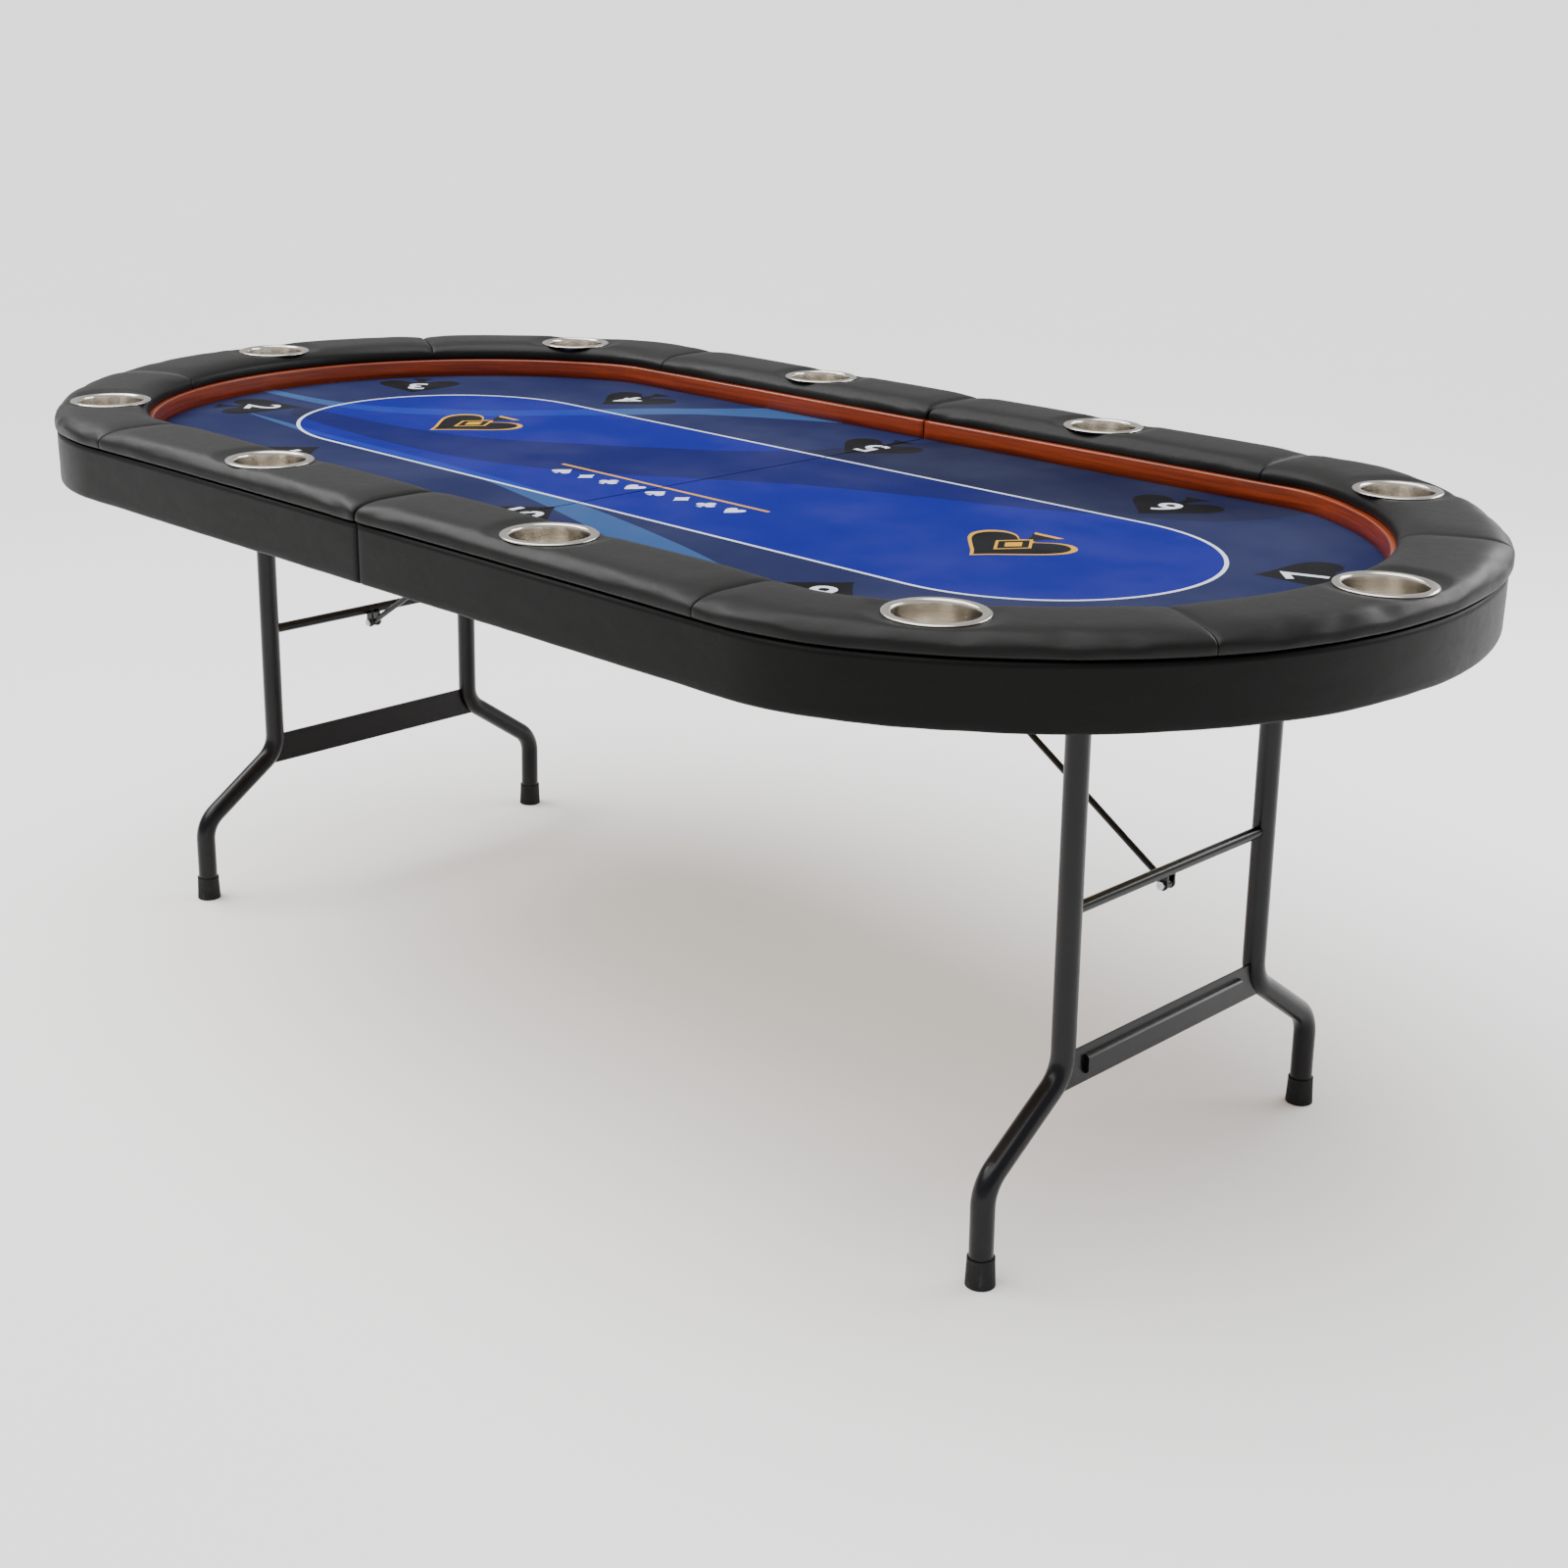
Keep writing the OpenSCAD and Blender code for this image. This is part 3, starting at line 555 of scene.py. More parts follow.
def swell(piece, pinned, cap, frames=16):
    """Blows the piece up as sewn vinyl over foam, holding the pinned points, and keeps the settled shape."""
    start = np.array([v.co for v in piece.data.vertices])
    group = piece.vertex_groups.new(name="sewn")
    group.add(pinned, 1.0, "ADD")
    cloth = piece.modifiers.new("stuffing", "CLOTH")
    cloth.settings.quality = 6
    cloth.settings.mass = 0.25
    cloth.settings.tension_stiffness = 30
    cloth.settings.compression_stiffness = 30
    cloth.settings.shear_stiffness = 10
    cloth.settings.bending_stiffness = 6
    cloth.settings.use_pressure = True
    cloth.settings.uniform_pressure_force = 4.0
    cloth.settings.shrink_min = -0.004
    cloth.settings.vertex_group_mass = "sewn"
    cloth.settings.effector_weights.gravity = 0
    cloth.collision_settings.use_collision = False
    cloth.point_cache.frame_start, cloth.point_cache.frame_end = 1, frames
    scene = bpy.context.scene
    for step in range(1, frames + 1):
        scene.frame_set(step)
    settled = bpy.data.meshes.new_from_object(piece.evaluated_get(bpy.context.evaluated_depsgraph_get()))
    piece.modifiers.clear()
    piece.vertex_groups.clear()
    moved = np.array([v.co for v in settled.vertices]) - start
    far = np.linalg.norm(moved, axis=1, keepdims=True)
    held = (moved * np.where(far > cap, cap / np.maximum(far, 1e-9), 1.0)).reshape(-1, SECTION_POINTS, 3)
    for _ in range(SMOOTHING_ROUNDS):
        held[1:-1] = (held[:-2] + 2 * held[1:-1] + held[2:]) / 4
        held = (np.roll(held, 1, 1) + 2 * held + np.roll(held, -1, 1)) / 4
    piece.data.vertices.foreach_set("co", (start + held.reshape(-1, 3)).ravel())
    bpy.data.meshes.remove(settled)
    scene.frame_set(1)


def press_round_cup(mesh, cup, size):
    """Lowers the pad under a cup's rim and lets it well up again beyond it."""
    low = CUP_BOX[1][2] - 0.0025
    for vertex in mesh.vertices:
        away = math.dist(vertex.co.xy, cup)
        if vertex.co.z > low and away < size.rim_radius + 0.024:
            t = max(0.0, (away - size.rim_radius - 0.001) / 0.023)
            t = t * t * (3 - 2 * t)
            vertex.co.z = low + (vertex.co.z - low) * t
    mesh.update()


def cut_cup_hole(piece, cup, size):
    """Cuts the round hole that the cup hangs in."""
    mesh = bmesh.new()
    bmesh.ops.create_cone(
        mesh, cap_ends=True, segments=72, radius1=size.cup_radius + 0.002, radius2=size.cup_radius + 0.002,
        depth=0.12
    )
    bmesh.ops.translate(mesh, verts=mesh.verts, vec=(cup[0], cup[1], PAD_BOX[0][2]))
    data = bpy.data.meshes.new("cutter")
    mesh.to_mesh(data)
    mesh.free()
    cutter = bpy.data.objects.new("cutter", data)
    bpy.context.scene.collection.objects.link(cutter)
    cut = piece.modifiers.new("hole", "BOOLEAN")
    cut.operation, cut.object, cut.solver = "DIFFERENCE", cutter, "EXACT"
    result = bpy.data.meshes.new_from_object(piece.evaluated_get(bpy.context.evaluated_depsgraph_get()))
    piece.modifiers.clear()
    bpy.data.objects.remove(cutter)
    if len(result.vertices) <= len(piece.data.vertices) // 2:
        raise RuntimeError(f"the cup hole did not cut {piece.name}")
    piece.data = result


def cup_places(outline, side):
    """The middles of a half's five cups, found in the CAD cups, from the front round to the rear."""
    node = frame["nodes"][f"{side}_cup_holders"]
    points = np.array([v.co[:2] for v in node.data.vertices])
    angles = np.arctan2(points[:, 1], np.abs(points[:, 0]) - outline.corner[0] + 0.05)
    order = np.argsort(angles)
    rough = np.split(points[order], np.where(np.diff(angles[order]) > 0.12)[0] + 1)
    return [((p[:, 0].min() + p[:, 0].max()) / 2, (p[:, 1].min() + p[:, 1].max()) / 2) for p in rough]


PAD_NAMES = ("front", "front_corner", "end", "rear_corner", "rear")


class BuildPads(bpy.types.Operator):
    """Builds the ten vinyl rail pads, swelled by cloth simulation, with cup holes"""
    bl_idname = "card_table.pads"
    bl_label = "Rail pads"

    def execute(self, context):
        size = context.scene.card_table_sizes
        outline = Outline()
        cups = cup_places(outline, "right")
        if len(cups) != 5:
            raise RuntimeError(f"expected five cups on a half, found {len(cups)}")
        masters = {}
        for number in (2, 3, 4):
            start, end = outline.seams[number] + SEAM_GAP, outline.seams[number + 1] - SEAM_GAP

            def section(run, start=start, end=end, fold=number == 4):
                fullness = 1.0
                for gap, deep in ((run - start, SEAM_DEPTH), (end - run, FOLD_DEPTH if fold else SEAM_DEPTH)):
                    t = min(1.0, max(0.0, gap / size.pillow))
                    fullness = min(fullness, 1 - deep * (1 - (1 - (1 - t) ** SEAM_ROUND) ** (1 / SEAM_ROUND)))
                return pad_section(size, fullness, PAD_SINK)

            near = [start + size.pillow * f for f in (0, 0.03, 0.1, 0.22, 0.4, 0.65)]
            far = [start + end - r for r in reversed(near)]
            runs = near + spaced(start + size.pillow, end - size.pillow, size.grid) + far
            mesh = loft(f"pad_{PAD_NAMES[number]}", outline, runs, section)
            piece = bpy.data.objects.new(mesh.name, mesh)
            context.scene.collection.objects.link(piece)
            held = 3 * SECTION_POINTS
            ends = list(range(held)) + list(range(len(mesh.vertices) - held, len(mesh.vertices)))
            low = [v.index for v in mesh.vertices if v.co.z < PAD_BOX[0][2] + 0.003]
            swell(piece, sorted(set(ends + low)), SWELL_LIMIT)
            press_round_cup(piece.data, cups[number], size)
            cut_cup_hole(piece, cups[number], size)
            masters[number] = piece.data
            bpy.data.objects.remove(piece)
        for side, x in SIDES:
            for number, name in enumerate(PAD_NAMES):
                mesh = mirrored(
                    masters[max(number, 4 - number)], f"{side}_pad_{name}_vinyl", x,
                    1 if number >= 2 else -1
                )
                piece = object_of(mesh.name, mesh, f"{side}_half", "rail_vinyl")
                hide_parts(f"{side}_pad_{name}")
        return {"FINISHED"}


# ---- skirt and wood band ----


class BuildSkirt(bpy.types.Operator):
    """Builds the vinyl-covered skirt with its soft lower edge"""
    bl_idname = "card_table.skirt"
    bl_label = "Skirt"

    def execute(self, context):
        outline = Outline()
        low, high = SKIRT_BOX[0][2], SKIRT_BOX[1][2] - 0.0004
        thick = outline.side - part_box("right_board")[1][1]

        def section(run):
            point, out = outline.at(run)
            wave = noise.noise(Vector((point[0] * 9, point[1] * 9, 0.0)))
            ripple = noise.noise(Vector((point[0] * 30, point[1] * 30, 5.0)))
            sag = max(0.0, 0.0011 * wave + 0.0005 * ripple + 0.0004)
            end = min(run, outline.length - run)
            tuck = 0.0012 * max(0.0, 1 - end / 0.006) ** 2
            outside = [
                (tuck + 0.0003 * noise.noise(Vector((point[0] * 22, point[1] * 22, z * 60))), z)
                for z in spaced(low + 0.004, high, 0.0075)[::-1]
            ]
            rounded = [
                (tuck + 0.004 - 0.004 * math.cos(a), low + 0.004 - 0.004 * math.sin(a) + sag)
                for a in (0.35, 0.8, 1.2, math.pi / 2)
            ]
            inside = [
                (thick - 0.003, low + sag), (thick - 0.0008, low + 0.001 + sag),
                (thick - 0.0001, low + 0.003 + sag), (thick - 0.0001, high)
            ]
            return outside + rounded + inside

        ends = [0.0, 0.0012, 0.003, 0.006]
        far = [outline.length - r for r in reversed(ends)]
        runs = ends + spaced(0.012, outline.length - 0.012, 0.012) + far
        master = loft("skirt_cover", outline, runs, section)
        for side, x in SIDES:
            piece = object_of(
                f"{side}_skirt_cover", mirrored(master, f"{side}_skirt_cover", x), f"{side}_half",
                "skirt_vinyl"
            )
            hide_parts(f"{side}_skirt")
        return {"FINISHED"}


class BuildBand(bpy.types.Operator):
    """Builds the stained wood band with its rounded top edge"""
    bl_idname = "card_table.band"
    bl_label = "Wood band"

    def execute(self, context):
        size = context.scene.card_table_sizes
        outline = Outline()
        low, high = BAND_BOX[0][2] + 0.0001, BAND_BOX[1][2]
        inner, outer = size.rail_width, size.rail_width - size.band_thickness
        soft = 0.0022

        def section(run):
            arc = [i * math.pi / 12 for i in range(7)]
            near = [(inner - soft + soft * math.cos(a), high - soft + soft * math.sin(a)) for a in arc]
            far = [(outer + soft - soft * math.sin(a), high - soft + soft * math.cos(a)) for a in arc]
            return [(inner, low), (inner, (low + high) / 2)] + near + far + [(outer, low)]

        master = loft("band", outline, spaced(0.0, outline.length, 0.008), section)
        for side, x in SIDES:
            piece = object_of(
                f"{side}_band_wood", mirrored(master, f"{side}_band_wood", x), f"{side}_half",
                "stained_wood"
            )
            for polygon in piece.data.polygons:
                polygon.use_smooth = abs(polygon.normal.z) < 0.999 and len(polygon.vertices) == 4
            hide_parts(f"{side}_wood_band")
        return {"FINISHED"}


# ---- cup holders ----


def lathe(name, profile, centres, steps):
    """Spins a profile of (radius, z) about each centre. The UV map holds turn and distance along it."""
    mesh = bmesh.new()
    layer = mesh.loops.layers.uv.new("turned")
    along = [0.0]
    for a, b in zip(profile, profile[1:]):
        along.append(along[-1] + math.dist(a, b))
    for centre in centres:
        rings = []
        for radius, z in profile:
            if radius == 0:
                rings.append([mesh.verts.new((centre[0], centre[1], z))] * steps)
            else:
                angles = [2 * math.pi * k / steps for k in range(steps)]
                around = [
                    (centre[0] + radius * math.cos(a), centre[1] + radius * math.sin(a), z) for a in angles
                ]
                rings.append([mesh.verts.new(p) for p in around])
        for i in range(len(rings) - 1):
            for k in range(steps):
                n = (k + 1) % steps
                corners = [
                    (rings[i][k], k, i), (rings[i][n], k + 1, i), (rings[i + 1][n], k + 1, i + 1),
                    (rings[i + 1][k], k, i + 1)
                ]
                kept = [c for j, c in enumerate(corners) if c[0] not in [d[0] for d in corners[:j]]]
                face = mesh.faces.new([c[0] for c in kept])
                for loop, (_, turn, row) in zip(face.loops, kept):
                    loop[layer].uv = (turn / steps, along[row])
    bmesh.ops.recalc_face_normals(mesh, faces=mesh.faces)
    data = bpy.data.meshes.new(name)
    mesh.to_mesh(data)
    mesh.free()
    return data


class BuildCups(bpy.types.Operator):
    """Builds the spun steel cup holders with their rolled rims"""
    bl_idname = "card_table.cups"
    bl_label = "Cup holders"

    def execute(self, context):
        size = context.scene.card_table_sizes
        r, rim = size.cup_radius, size.rim_radius
        low, high = CUP_BOX[0][2], CUP_BOX[1][2]
        floor = low + 0.001
        inside = [
            (0, floor + 0.0004), (0.012, floor + 0.0002), (r - 0.010, floor), (r - 0.004, floor + 0.0010),
            (r - 0.0012, floor + 0.0040), (r, floor + 0.0095)
        ]
        wall = [(r, floor + 0.02), (r, floor + 0.034), (r, high - 0.0045)]
        lip = [(r + 0.0004, high - 0.0022), (r + 0.0014, high - 0.0007), (r + 0.0030, high)]
        flange = [
            (r + 0.0050, high + 0.0001), (rim - 0.0028, high - 0.0001), (rim - 0.0010, high - 0.0006),
            (rim - 0.0002, high - 0.0015), (rim - 0.0004, high - 0.0023)
        ]
        under = [(rim - 0.0018, high - 0.0024), (r + 0.0040, high - 0.0018), (r + 0.0011, high - 0.0040)]
        outside = [
            (r + 0.0009, high - 0.01), (r + 0.0009, low + 0.010), (r - 0.0006, low + 0.0036),
            (r - 0.004, low + 0.0008), (r - 0.010, low), (0, low)
        ]
        for side, _ in SIDES:
            centres = cup_places(Outline(), side)
            mesh = lathe(f"{side}_cups_steel", inside + wall + lip + flange + under + outside, centres, 96)
            piece = object_of(mesh.name, mesh, f"{side}_half", "stainless_steel")
            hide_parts(f"{side}_cup_holders")
        return {"FINISHED"}


# ---- printed cloth ----


def curve(points, steps=10):
    """A smooth line through points."""
    fine = []
    ends = [points[0]] + list(points) + [points[-1]]
    for a, b, c, d in zip(ends, ends[1:], ends[2:], ends[3:]):
        for i in range(steps):
            t = i / steps
            point = []
            for p, q, r, s in zip(a, b, c, d):
                second, third = 2 * p - 5 * q + 4 * r - s, 3 * q - p - 3 * r + s
                point.append(0.5 * (2 * q + (r - p) * t + second * t * t + third * t ** 3))
            fine.append(tuple(point))
    return fine + [tuple(points[-1])]


def closed(points):
    """The edges of a closed line."""
    return list(zip(points, points[1:] + points[:1]))


def arc(centre, radius, start, end, steps):
    angles = [math.radians(start + (end - start) * i / steps) for i in range(steps + 1)]
    return [(centre[0] + radius * math.cos(a), centre[1] + radius * math.sin(a)) for a in angles]


def stadium(half, radius):
    """A racetrack with round ends."""
    return closed(arc((half, 0), radius, -90, 90, 60) + arc((-half, 0), radius, 90, 270, 60))


def placed(edges, scale, angle, place):
    """Edges scaled, turned so that their top points along the angle, and moved into place."""
    turn = math.radians(angle - 90)
    c, s = math.cos(turn) * scale, math.sin(turn) * scale
    spot = lambda p: (place[0] + c * p[0] - s * p[1], place[1] + s * p[0] + c * p[1])
    return [(spot(a), spot(b)) for a, b in edges]


def symmetric(half):
    """A closed line from its right-hand points, from top to bottom."""
    return closed(half + [(-x, y) for x, y in reversed(half) if x > 1e-6])


def spade():
    side = curve(
        [
            (0, 0.5), (0.10, 0.37), (0.27, 0.19), (0.42, 0.02), (0.49, -0.13), (0.465, -0.27),
            (0.35, -0.355), (0.21, -0.33), (0.07, -0.21)
        ],
        6
    )
    stem = curve([(0.045, -0.25), (0.065, -0.37), (0.15, -0.5)], 5)
    return symmetric(side + stem + [(0, -0.5)])


def heart():
    return symmetric(
        curve(
            [
                (0, 0.26), (0.10, 0.42), (0.27, 0.48), (0.43, 0.36), (0.45, 0.16), (0.33, -0.08),
                (0.15, -0.32), (0, -0.5)
            ],
            6
        )
    )


def diamond(width=0.40):
    return symmetric(
        curve([(0, 0.5), (width * 0.42, 0.24), (width, 0.0)], 4)
        + curve([(width, 0.0), (width * 0.42, -0.24), (0, -0.5)], 4)[1:]
    )


def gem():
    return closed([(0, 0.5), (0.36, 0), (0, -0.5), (-0.36, 0)])


def club():
    leaf = arc((0, 0.25), 0.225, 90, -40, 14)
    side = arc((0.25, -0.06), 0.225, 70, -150, 20)
    stem = curve([(0.05, -0.22), (0.08, -0.36), (0.15, -0.5)], 5)
    return symmetric(leaf + side + stem + [(0, -0.5)])


def numeral(text):
    """The outline of a plain numeral, one unit tall and centred."""
    words = bpy.data.curves.new("numeral", "FONT")
    words.body, words.resolution_u, words.offset = text, 5, 0.018
    holder = bpy.data.objects.new("numeral", words)
    bpy.context.scene.collection.objects.link(holder)
    mesh = bpy.data.meshes.new_from_object(holder.evaluated_get(bpy.context.evaluated_depsgraph_get()))
    uses = {}
    for polygon in mesh.polygons:
        for key in polygon.edge_keys:
            uses[key] = uses.get(key, 0) + 1
    points = np.array([v.co[:2] for v in mesh.vertices])
    middle, tall = (points.min(0) + points.max(0)) / 2, np.ptp(points[:, 1])
    points = (points - middle) / tall
    edges = [(tuple(points[a]), tuple(points[b])) for (a, b), used in uses.items() if used == 1]
    bpy.data.objects.remove(holder)
    bpy.data.curves.remove(words)
    bpy.data.meshes.remove(mesh)
    return edges


def covered(points, edges):
    """Which points an odd number of the edges' crossings puts inside."""
    e = np.array([(*a, *b) for a, b in edges])
    inside = np.zeros(len(points), bool)
    for x0, y0, x1, y1 in e:
        if y0 == y1:
            continue
        spans = (points[:, 1] < y0) != (points[:, 1] < y1)
        at = x0 + (points[:, 1] - y0) * (x1 - x0) / (y1 - y0)
        inside ^= spans & (points[:, 0] < at)
    return inside


def layers(shape):
    """The outlines that a printed area lies inside, all at once."""
    return shape if isinstance(shape, tuple) else (shape,)


SEATS = (
    ("1", (-0.505, -0.325), 90),
    ("2", (-0.826, -0.148), 45),
    ("3", (-0.826, 0.148), -45),
    ("4", (-0.510, 0.325), -90),
    ("5", (0.0, 0.325), -90),
    ("6", (0.505, 0.325), -90),
    ("7", (0.826, 0.148), -135),
    ("8", (0.826, -0.148), 135),
    ("9", (0.505, -0.325), 90),
    ("10", (0.0, -0.325), 90),
)


def print_regions(size, hue):
    """The printed areas from the bottom up, as (name, edges, colour)."""
    sweep = closed(
        curve(
            [
                (0.04, 0.46), (-0.02, 0.30), (-0.10, 0.17), (-0.20, 0.09), (-0.30, 0.02), (-0.42, -0.05),
                (-0.56, -0.085), (-0.80, -0.10)
            ]
        )
        + curve(
            [
                (-0.74, -0.150), (-0.5, -0.168), (-0.3, -0.155), (-0.15, -0.10), (-0.02, -0.02),
                (0.10, 0.06), (0.25, 0.125), (0.42, 0.19), (0.60, 0.30), (0.66, 0.46)
            ]
        )
    )
    ribbon = closed(
        curve(
            [
                (-0.30, 0.46), (-0.345, 0.40), (-0.385, 0.35), (-0.43, 0.30), (-0.50, 0.20), (-0.575, 0.10),
                (-0.63, 0.05), (-0.70, 0.0), (-0.77, -0.03), (-0.85, -0.044), (-0.96, -0.048)
            ]
        )
        + curve(
            [
                (-0.96, -0.071), (-0.80, -0.066), (-0.72, -0.052), (-0.66, -0.028), (-0.615, 0.0),
                (-0.56, 0.05), (-0.515, 0.10), (-0.44, 0.20), (-0.365, 0.30), (-0.30, 0.35), (-0.215, 0.40),
                (-0.10, 0.46)
            ]
        )
    )
    wedge = closed(
        curve(
            [
                (-0.79, -0.187), (-0.70, -0.190), (-0.60, -0.197), (-0.40, -0.199), (-0.20, -0.204),
                (-0.10, -0.212), (0.0, -0.226), (0.10, -0.246), (0.20, -0.270), (0.30, -0.298),
                (0.42, -0.34)
            ]
        )
        + curve(
            [
                (0.22, -0.34), (0.10, -0.300), (0.0, -0.270), (-0.10, -0.245), (-0.20, -0.226),
                (-0.40, -0.216), (-0.60, -0.212), (-0.70, -0.202), (-0.79, -0.190)
            ]
        )
    )
    inner = stadium(size.line_half, size.line_radius)
    outside, inside = size.line_radius + size.line_width / 2, size.line_radius - size.line_width / 2
    band = stadium(size.line_half, outside) + stadium(size.line_half, inside)
    regions = [
        ("sweep_out", sweep, hue.swoosh_outer), ("ribbon_out", ribbon, hue.ribbon_outer),
        ("wedge_out", wedge, hue.ribbon_outer)
    ]
    regions += [
        ("inner", inner, hue.cloth_inner), ("sweep_in", (inner, sweep), hue.swoosh_inner),
        ("ribbon_in", (inner, ribbon), hue.ribbon_inner), ("wedge_in", (inner, wedge), hue.ribbon_inner)
    ]
    regions += [("line", band, hue.line)]
    tall = size.mark_height
    for text, place, facing in SEATS:
        regions.append(("mark_" + text, placed(spade(), tall, facing, place), hue.mark))
        push = math.radians(facing)
        middle = (place[0] + 0.006 * math.cos(push), place[1] + 0.006 * math.sin(push))
        regions.append(("numeral_" + text, placed(numeral(text), tall * 0.40, facing, middle), hue.line))
    for x in (-0.510, 0.507):
        regions.append((f"crest_{x}", placed(spade(), 0.148, -90, (x, 0.006)), hue.gold))
        regions.append((f"crest_in_{x}", placed(spade(), 0.134, -90, (x, 0.0055)), hue.mark))
        for tall_gem, ink in ((0.074, hue.gold), (0.062, hue.mark), (0.034, hue.gold)):
            regions.append((f"gem_{x}_{tall_gem}", placed(gem(), tall_gem, -90, (x, 0.012)), ink))
    pips = (spade(), diamond(), club(), heart())
    for i in range(8):
        regions.append((f"pip_{i}", placed(pips[i % 4], 0.030, 90, (-0.161 + 0.046 * i, -0.112)), hue.line))
    bar = [(-0.198, -0.085), (0.195, -0.085), (0.195, -0.079), (-0.198, -0.079)]
    regions.append(("bar", closed(bar), hue.gold))
    return regions


class BuildCloth(bpy.types.Operator):
    """Builds the two halves of the printed cloth, cut along every printed edge"""
    bl_idname = "card_table.cloth"
    bl_label = "Printed cloth"

    def execute(self, context):
        size, hue = context.scene.card_table_sizes, context.scene.card_table_colours
        outline = Outline()
        regions = print_regions(size, hue)
        top = CLOTH_BOX[1][2]
        for side, x in SIDES:
            edge = [(x * px, py) for px, py in outline.loop(size.rail_width)]
            border = closed(edge)
            places, edges, known = [], [], {}

            def point_of(p):
                key = (round(p[0], 6), round(p[1], 6))
                if key not in known:
                    known[key] = len(places)
                    places.append(Vector(key))
                return known[key]

            near = lambda a: x * a[0] > -0.12
            drawn = list(border)
            for _, shape, _ in regions:
                for line in layers(shape):
                    drawn += [e for e in line if near(e[0]) or near(e[1])]
            for a, b in drawn:
                pair = (point_of(a), point_of(b))
                if pair[0] != pair[1]:
                    edges.append(pair)
            points, _, faces = geometry.delaunay_2d_cdt(places, edges, [], 0, 1e-6)[:3]
            flat = np.array([p[:] for p in points])
            middles = np.array([flat[list(f)].mean(0) for f in faces])
            kept = covered(middles, border)
            inks = np.tile(np.array([*hue.cloth_outer, 1.0]), (len(faces), 1))
            for _, shape, rgb in regions:
                inside = np.ones(len(faces), bool)
                for line in layers(shape):
                    inside &= covered(middles, line)
                inks[inside] = (*rgb, 1.0)
            faces = [f for f, keep in zip(faces, kept) if keep]
            inks = inks[kept]
            used = sorted({i for f in faces for i in f})
            number = {old: new for new, old in enumerate(used)}
            data = bpy.data.meshes.new(f"{side}_cloth_print")
            data.from_pydata([(*flat[i], top) for i in used], [], [[number[i] for i in f] for f in faces])
            mesh = bmesh.new()
            mesh.from_mesh(data)
            layer = mesh.loops.layers.float_color.new("ink")
            mesh.faces.ensure_lookup_table()
            for face, ink in zip(mesh.faces, inks):
                for loop in face.loops:
                    loop[layer] = ink
            bmesh.ops.recalc_face_normals(mesh, faces=mesh.faces)
            if mesh.faces[0].normal.z < 0:
                bmesh.ops.reverse_faces(mesh, faces=mesh.faces)
            rim = [e for e in mesh.edges if e.is_boundary]
            turned = bmesh.ops.extrude_edge_only(mesh, edges=rim)["geom"]
            bmesh.ops.translate(
                mesh, verts=[g for g in turned if isinstance(g, bmesh.types.BMVert)], vec=(0, 0, -0.0009)
            )
            mesh.to_mesh(data)
            mesh.free()
            piece = object_of(data.name, data, f"{side}_half", "printed_cloth", smooth=False)
            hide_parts(f"{side}_cloth")
            loop = np.array(edge)
            turned_x, turned_y = np.roll(loop[:, 0], -1), np.roll(loop[:, 1], -1)
            area = abs(float(np.sum(loop[:, 0] * turned_y - loop[:, 1] * turned_x))) / 2
        return {"FINISHED"}


# ---- carried-over pieces ----


class FinishFrame(bpy.types.Operator):
    """Gives the boards, legs, braces and hardware their finishes"""
    bl_idname = "card_table.frame"
    bl_label = "Frame finishes"

    def execute(self, context):
        for part in frame["record"]["subparts"]:
            node = frame["nodes"][part["node"]]
            node.data.materials.clear()
            node.data.materials.append(finish(part["material_slot"]))
        return {"FINISHED"}


# ---- stage ----

CAMERA_PLACE = (2.162, -2.067, 1.356)
CAMERA_YAW, CAMERA_PITCH, CAMERA_ROLL = 0.772, math.radians(19.27), 0.018
CAMERA_LENS = 52.79


def soft_light(name, place, target, energy, wide, deep, rgb=(1, 1, 1)):
    light = bpy.data.lights.new(name, "AREA")
    light.shape, light.size, light.size_y, light.energy, light.color = "RECTANGLE", wide, deep, energy, rgb
    lamp = bpy.data.objects.new(name, light)
    lamp.location = place
    lamp.rotation_euler = (Vector(target) - Vector(place)).to_track_quat("-Z", "Y").to_euler()
    bpy.context.scene.collection.objects.link(lamp)


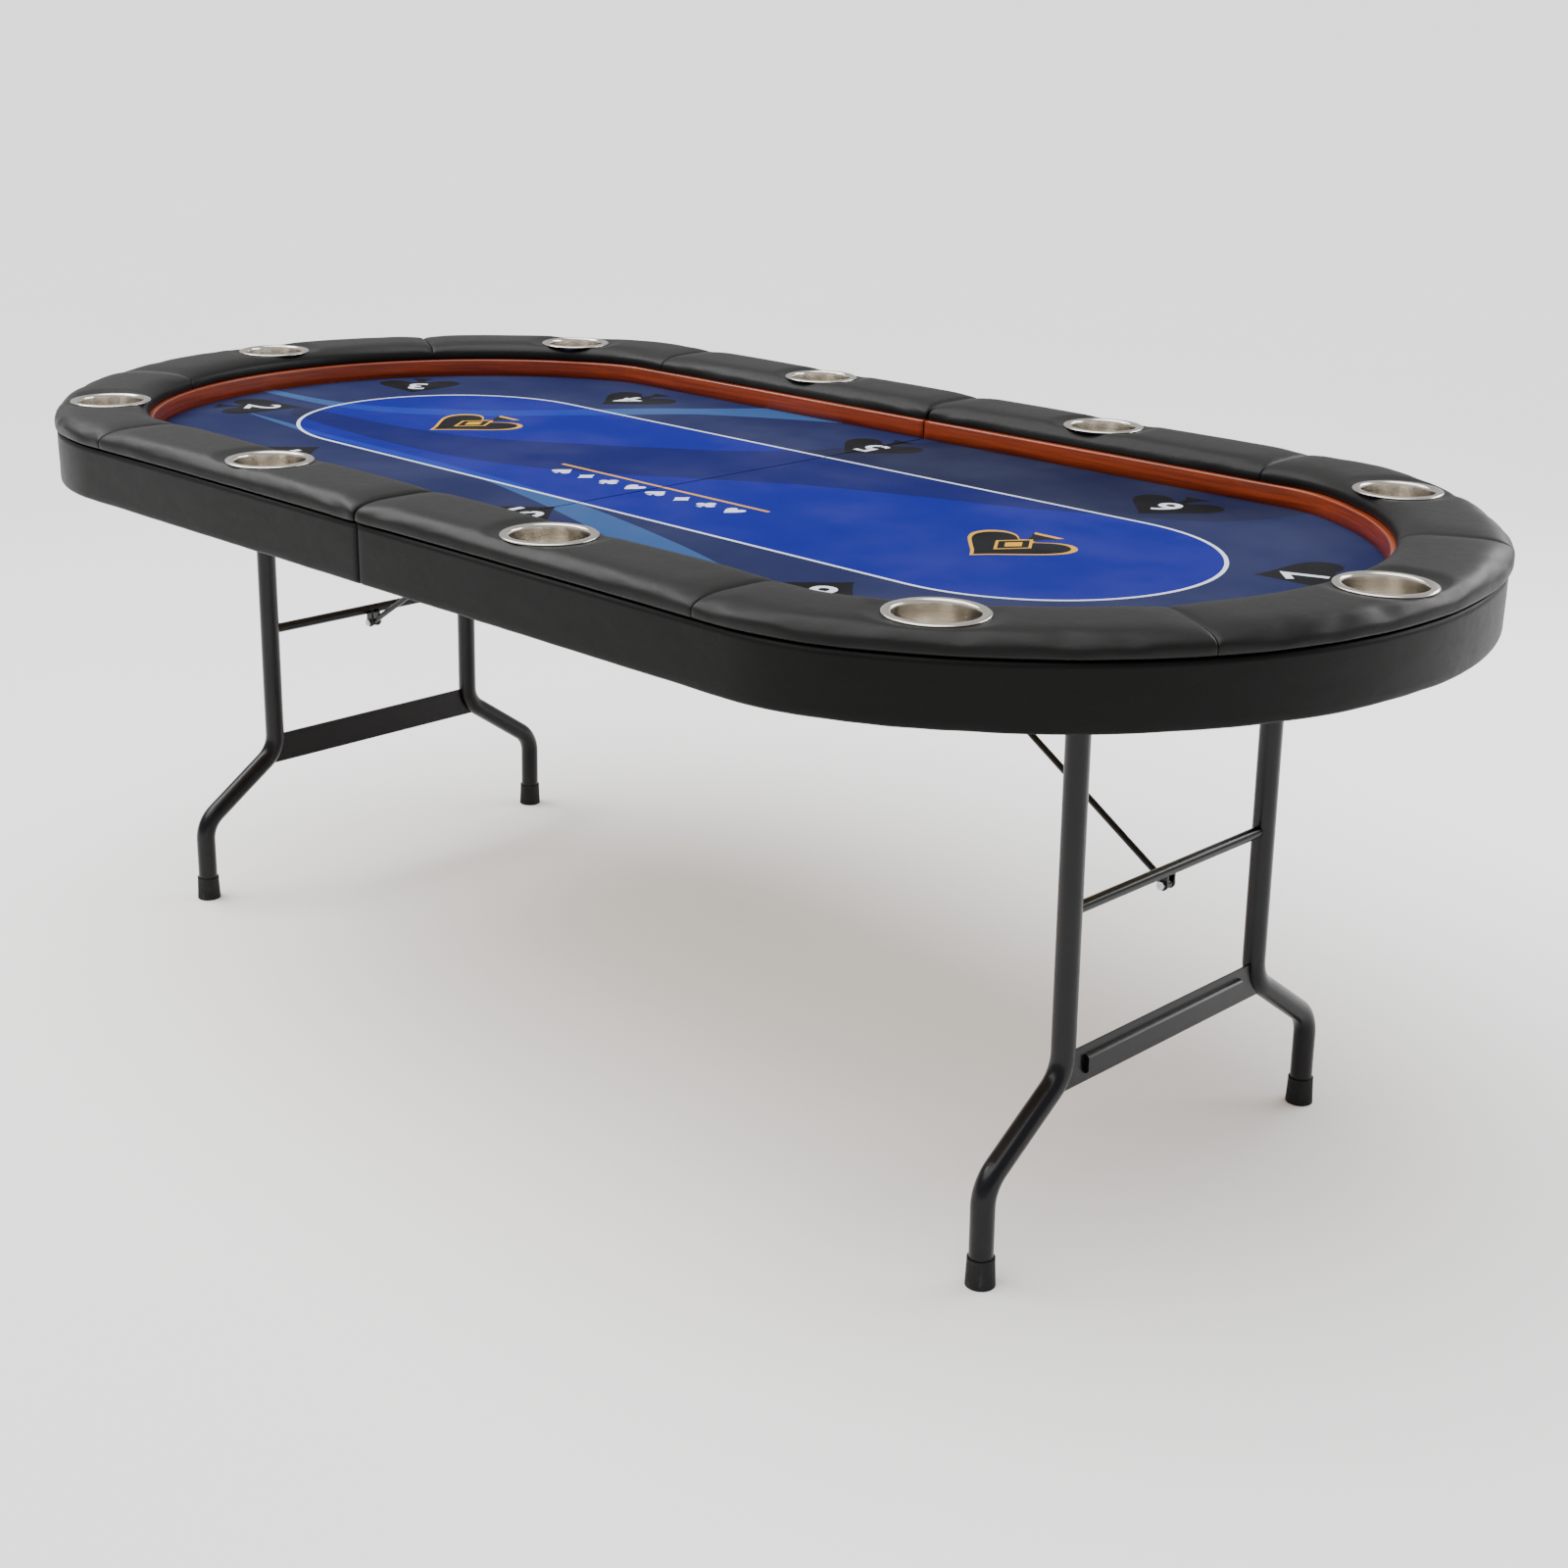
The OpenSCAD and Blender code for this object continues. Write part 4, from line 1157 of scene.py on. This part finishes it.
class BuildStage(bpy.types.Operator):
    """Builds the pale floor, the soft lights and the camera"""
    bl_idname = "card_table.stage"
    bl_label = "Stage"

    def execute(self, context):
        mesh = bmesh.new()
        bmesh.ops.create_grid(mesh, x_segments=1, y_segments=1, size=600)
        data = bpy.data.meshes.new("floor")
        mesh.to_mesh(data)
        mesh.free()
        made = Finish("floor_finish", Specular_IOR_Level=0.2)
        slow = made.noise(made.spot(), 0.8)
        made.connect(
            Base_Color=made.mix(slow, (0.90, 0.90, 0.90, 1), (0.93, 0.93, 0.93, 1)),
            Roughness=0.75 + slow * 0.1
        )
        data.materials.append(made.material)
        floor = bpy.data.objects.new("floor", data)
        floor.location.z = CAD_BOX[0][2] - 0.0005
        context.scene.collection.objects.link(floor)
        world = bpy.data.worlds.new("studio")
        world.use_nodes = True
        shade = world.node_tree.nodes["Background"]
        shade.inputs[0].default_value, shade.inputs[1].default_value = (1.0, 1.0, 1.0, 1.0), 0.62
        context.scene.world = world
        sky = bpy.data.lights.new("overhead", "SUN")
        sky.energy, sky.angle = 4.8, 1.3
        lamp = bpy.data.objects.new("overhead", sky)
        lamp.rotation_euler = (math.radians(14), math.radians(-12), 0)
        context.scene.collection.objects.link(lamp)
        soft_light("key", (-2.2, -1.0, 2.6), (0, 0, 0.7), 45, 2.4, 0.9)
        soft_light("rear", (1.4, 2.8, 2.0), (0.2, 0, 0.7), 70, 3.0, 0.7)
        yaw, pitch, roll = CAMERA_YAW, CAMERA_PITCH, CAMERA_ROLL
        ahead = Vector((-math.sin(yaw) * math.cos(pitch), math.cos(yaw) * math.cos(pitch), -math.sin(pitch)))
        level = Vector((math.cos(yaw), math.sin(yaw), 0))
        upright = level.cross(ahead)
        right = math.cos(roll) * level + math.sin(roll) * upright
        up = math.cos(roll) * upright - math.sin(roll) * level
        view = Matrix((right, up, -ahead)).transposed().to_4x4()
        view.translation = CAMERA_PLACE
        lens = bpy.data.cameras.new("camera")
        lens.lens, lens.sensor_width, lens.clip_end = CAMERA_LENS, 36, 2000
        camera = bpy.data.objects.new("camera", lens)
        camera.matrix_world = view
        context.scene.collection.objects.link(camera)
        context.scene.camera = camera
        return {"FINISHED"}


STEPS = (FinishFrame, BuildPads, BuildSkirt, BuildBand, BuildCups, BuildCloth, BuildStage)


class TablePanel(bpy.types.Panel):
    """Lists the table's pieces, sizes and colours"""
    bl_idname = "VIEW3D_PT_card_table"
    bl_label = "Card Table"
    bl_space_type = "VIEW_3D"
    bl_region_type = "UI"
    bl_category = "Card Table"

    def draw(self, context):
        for step in STEPS:
            self.layout.operator(step.bl_idname)
        for group in (context.scene.card_table_sizes, context.scene.card_table_colours):
            box = self.layout.box()
            for name in group.__annotations__:
                box.prop(group, name)


CLASSES = (TableSizes, TableColours) + STEPS + (TablePanel,)


def register():
    for item in CLASSES:
        bpy.utils.register_class(item)
    bpy.types.Scene.card_table_sizes = bpy.props.PointerProperty(type=TableSizes)
    bpy.types.Scene.card_table_colours = bpy.props.PointerProperty(type=TableColours)


def unregister():
    del bpy.types.Scene.card_table_sizes
    del bpy.types.Scene.card_table_colours
    for item in reversed(CLASSES):
        bpy.utils.unregister_class(item)


def main():
    register()
    bpy.ops.card_table.frame()
    bpy.ops.card_table.pads()
    bpy.ops.card_table.skirt()
    bpy.ops.card_table.band()
    bpy.ops.card_table.cups()
    bpy.ops.card_table.cloth()
    bpy.ops.card_table.stage()


if __name__ == "__main__":
    main()
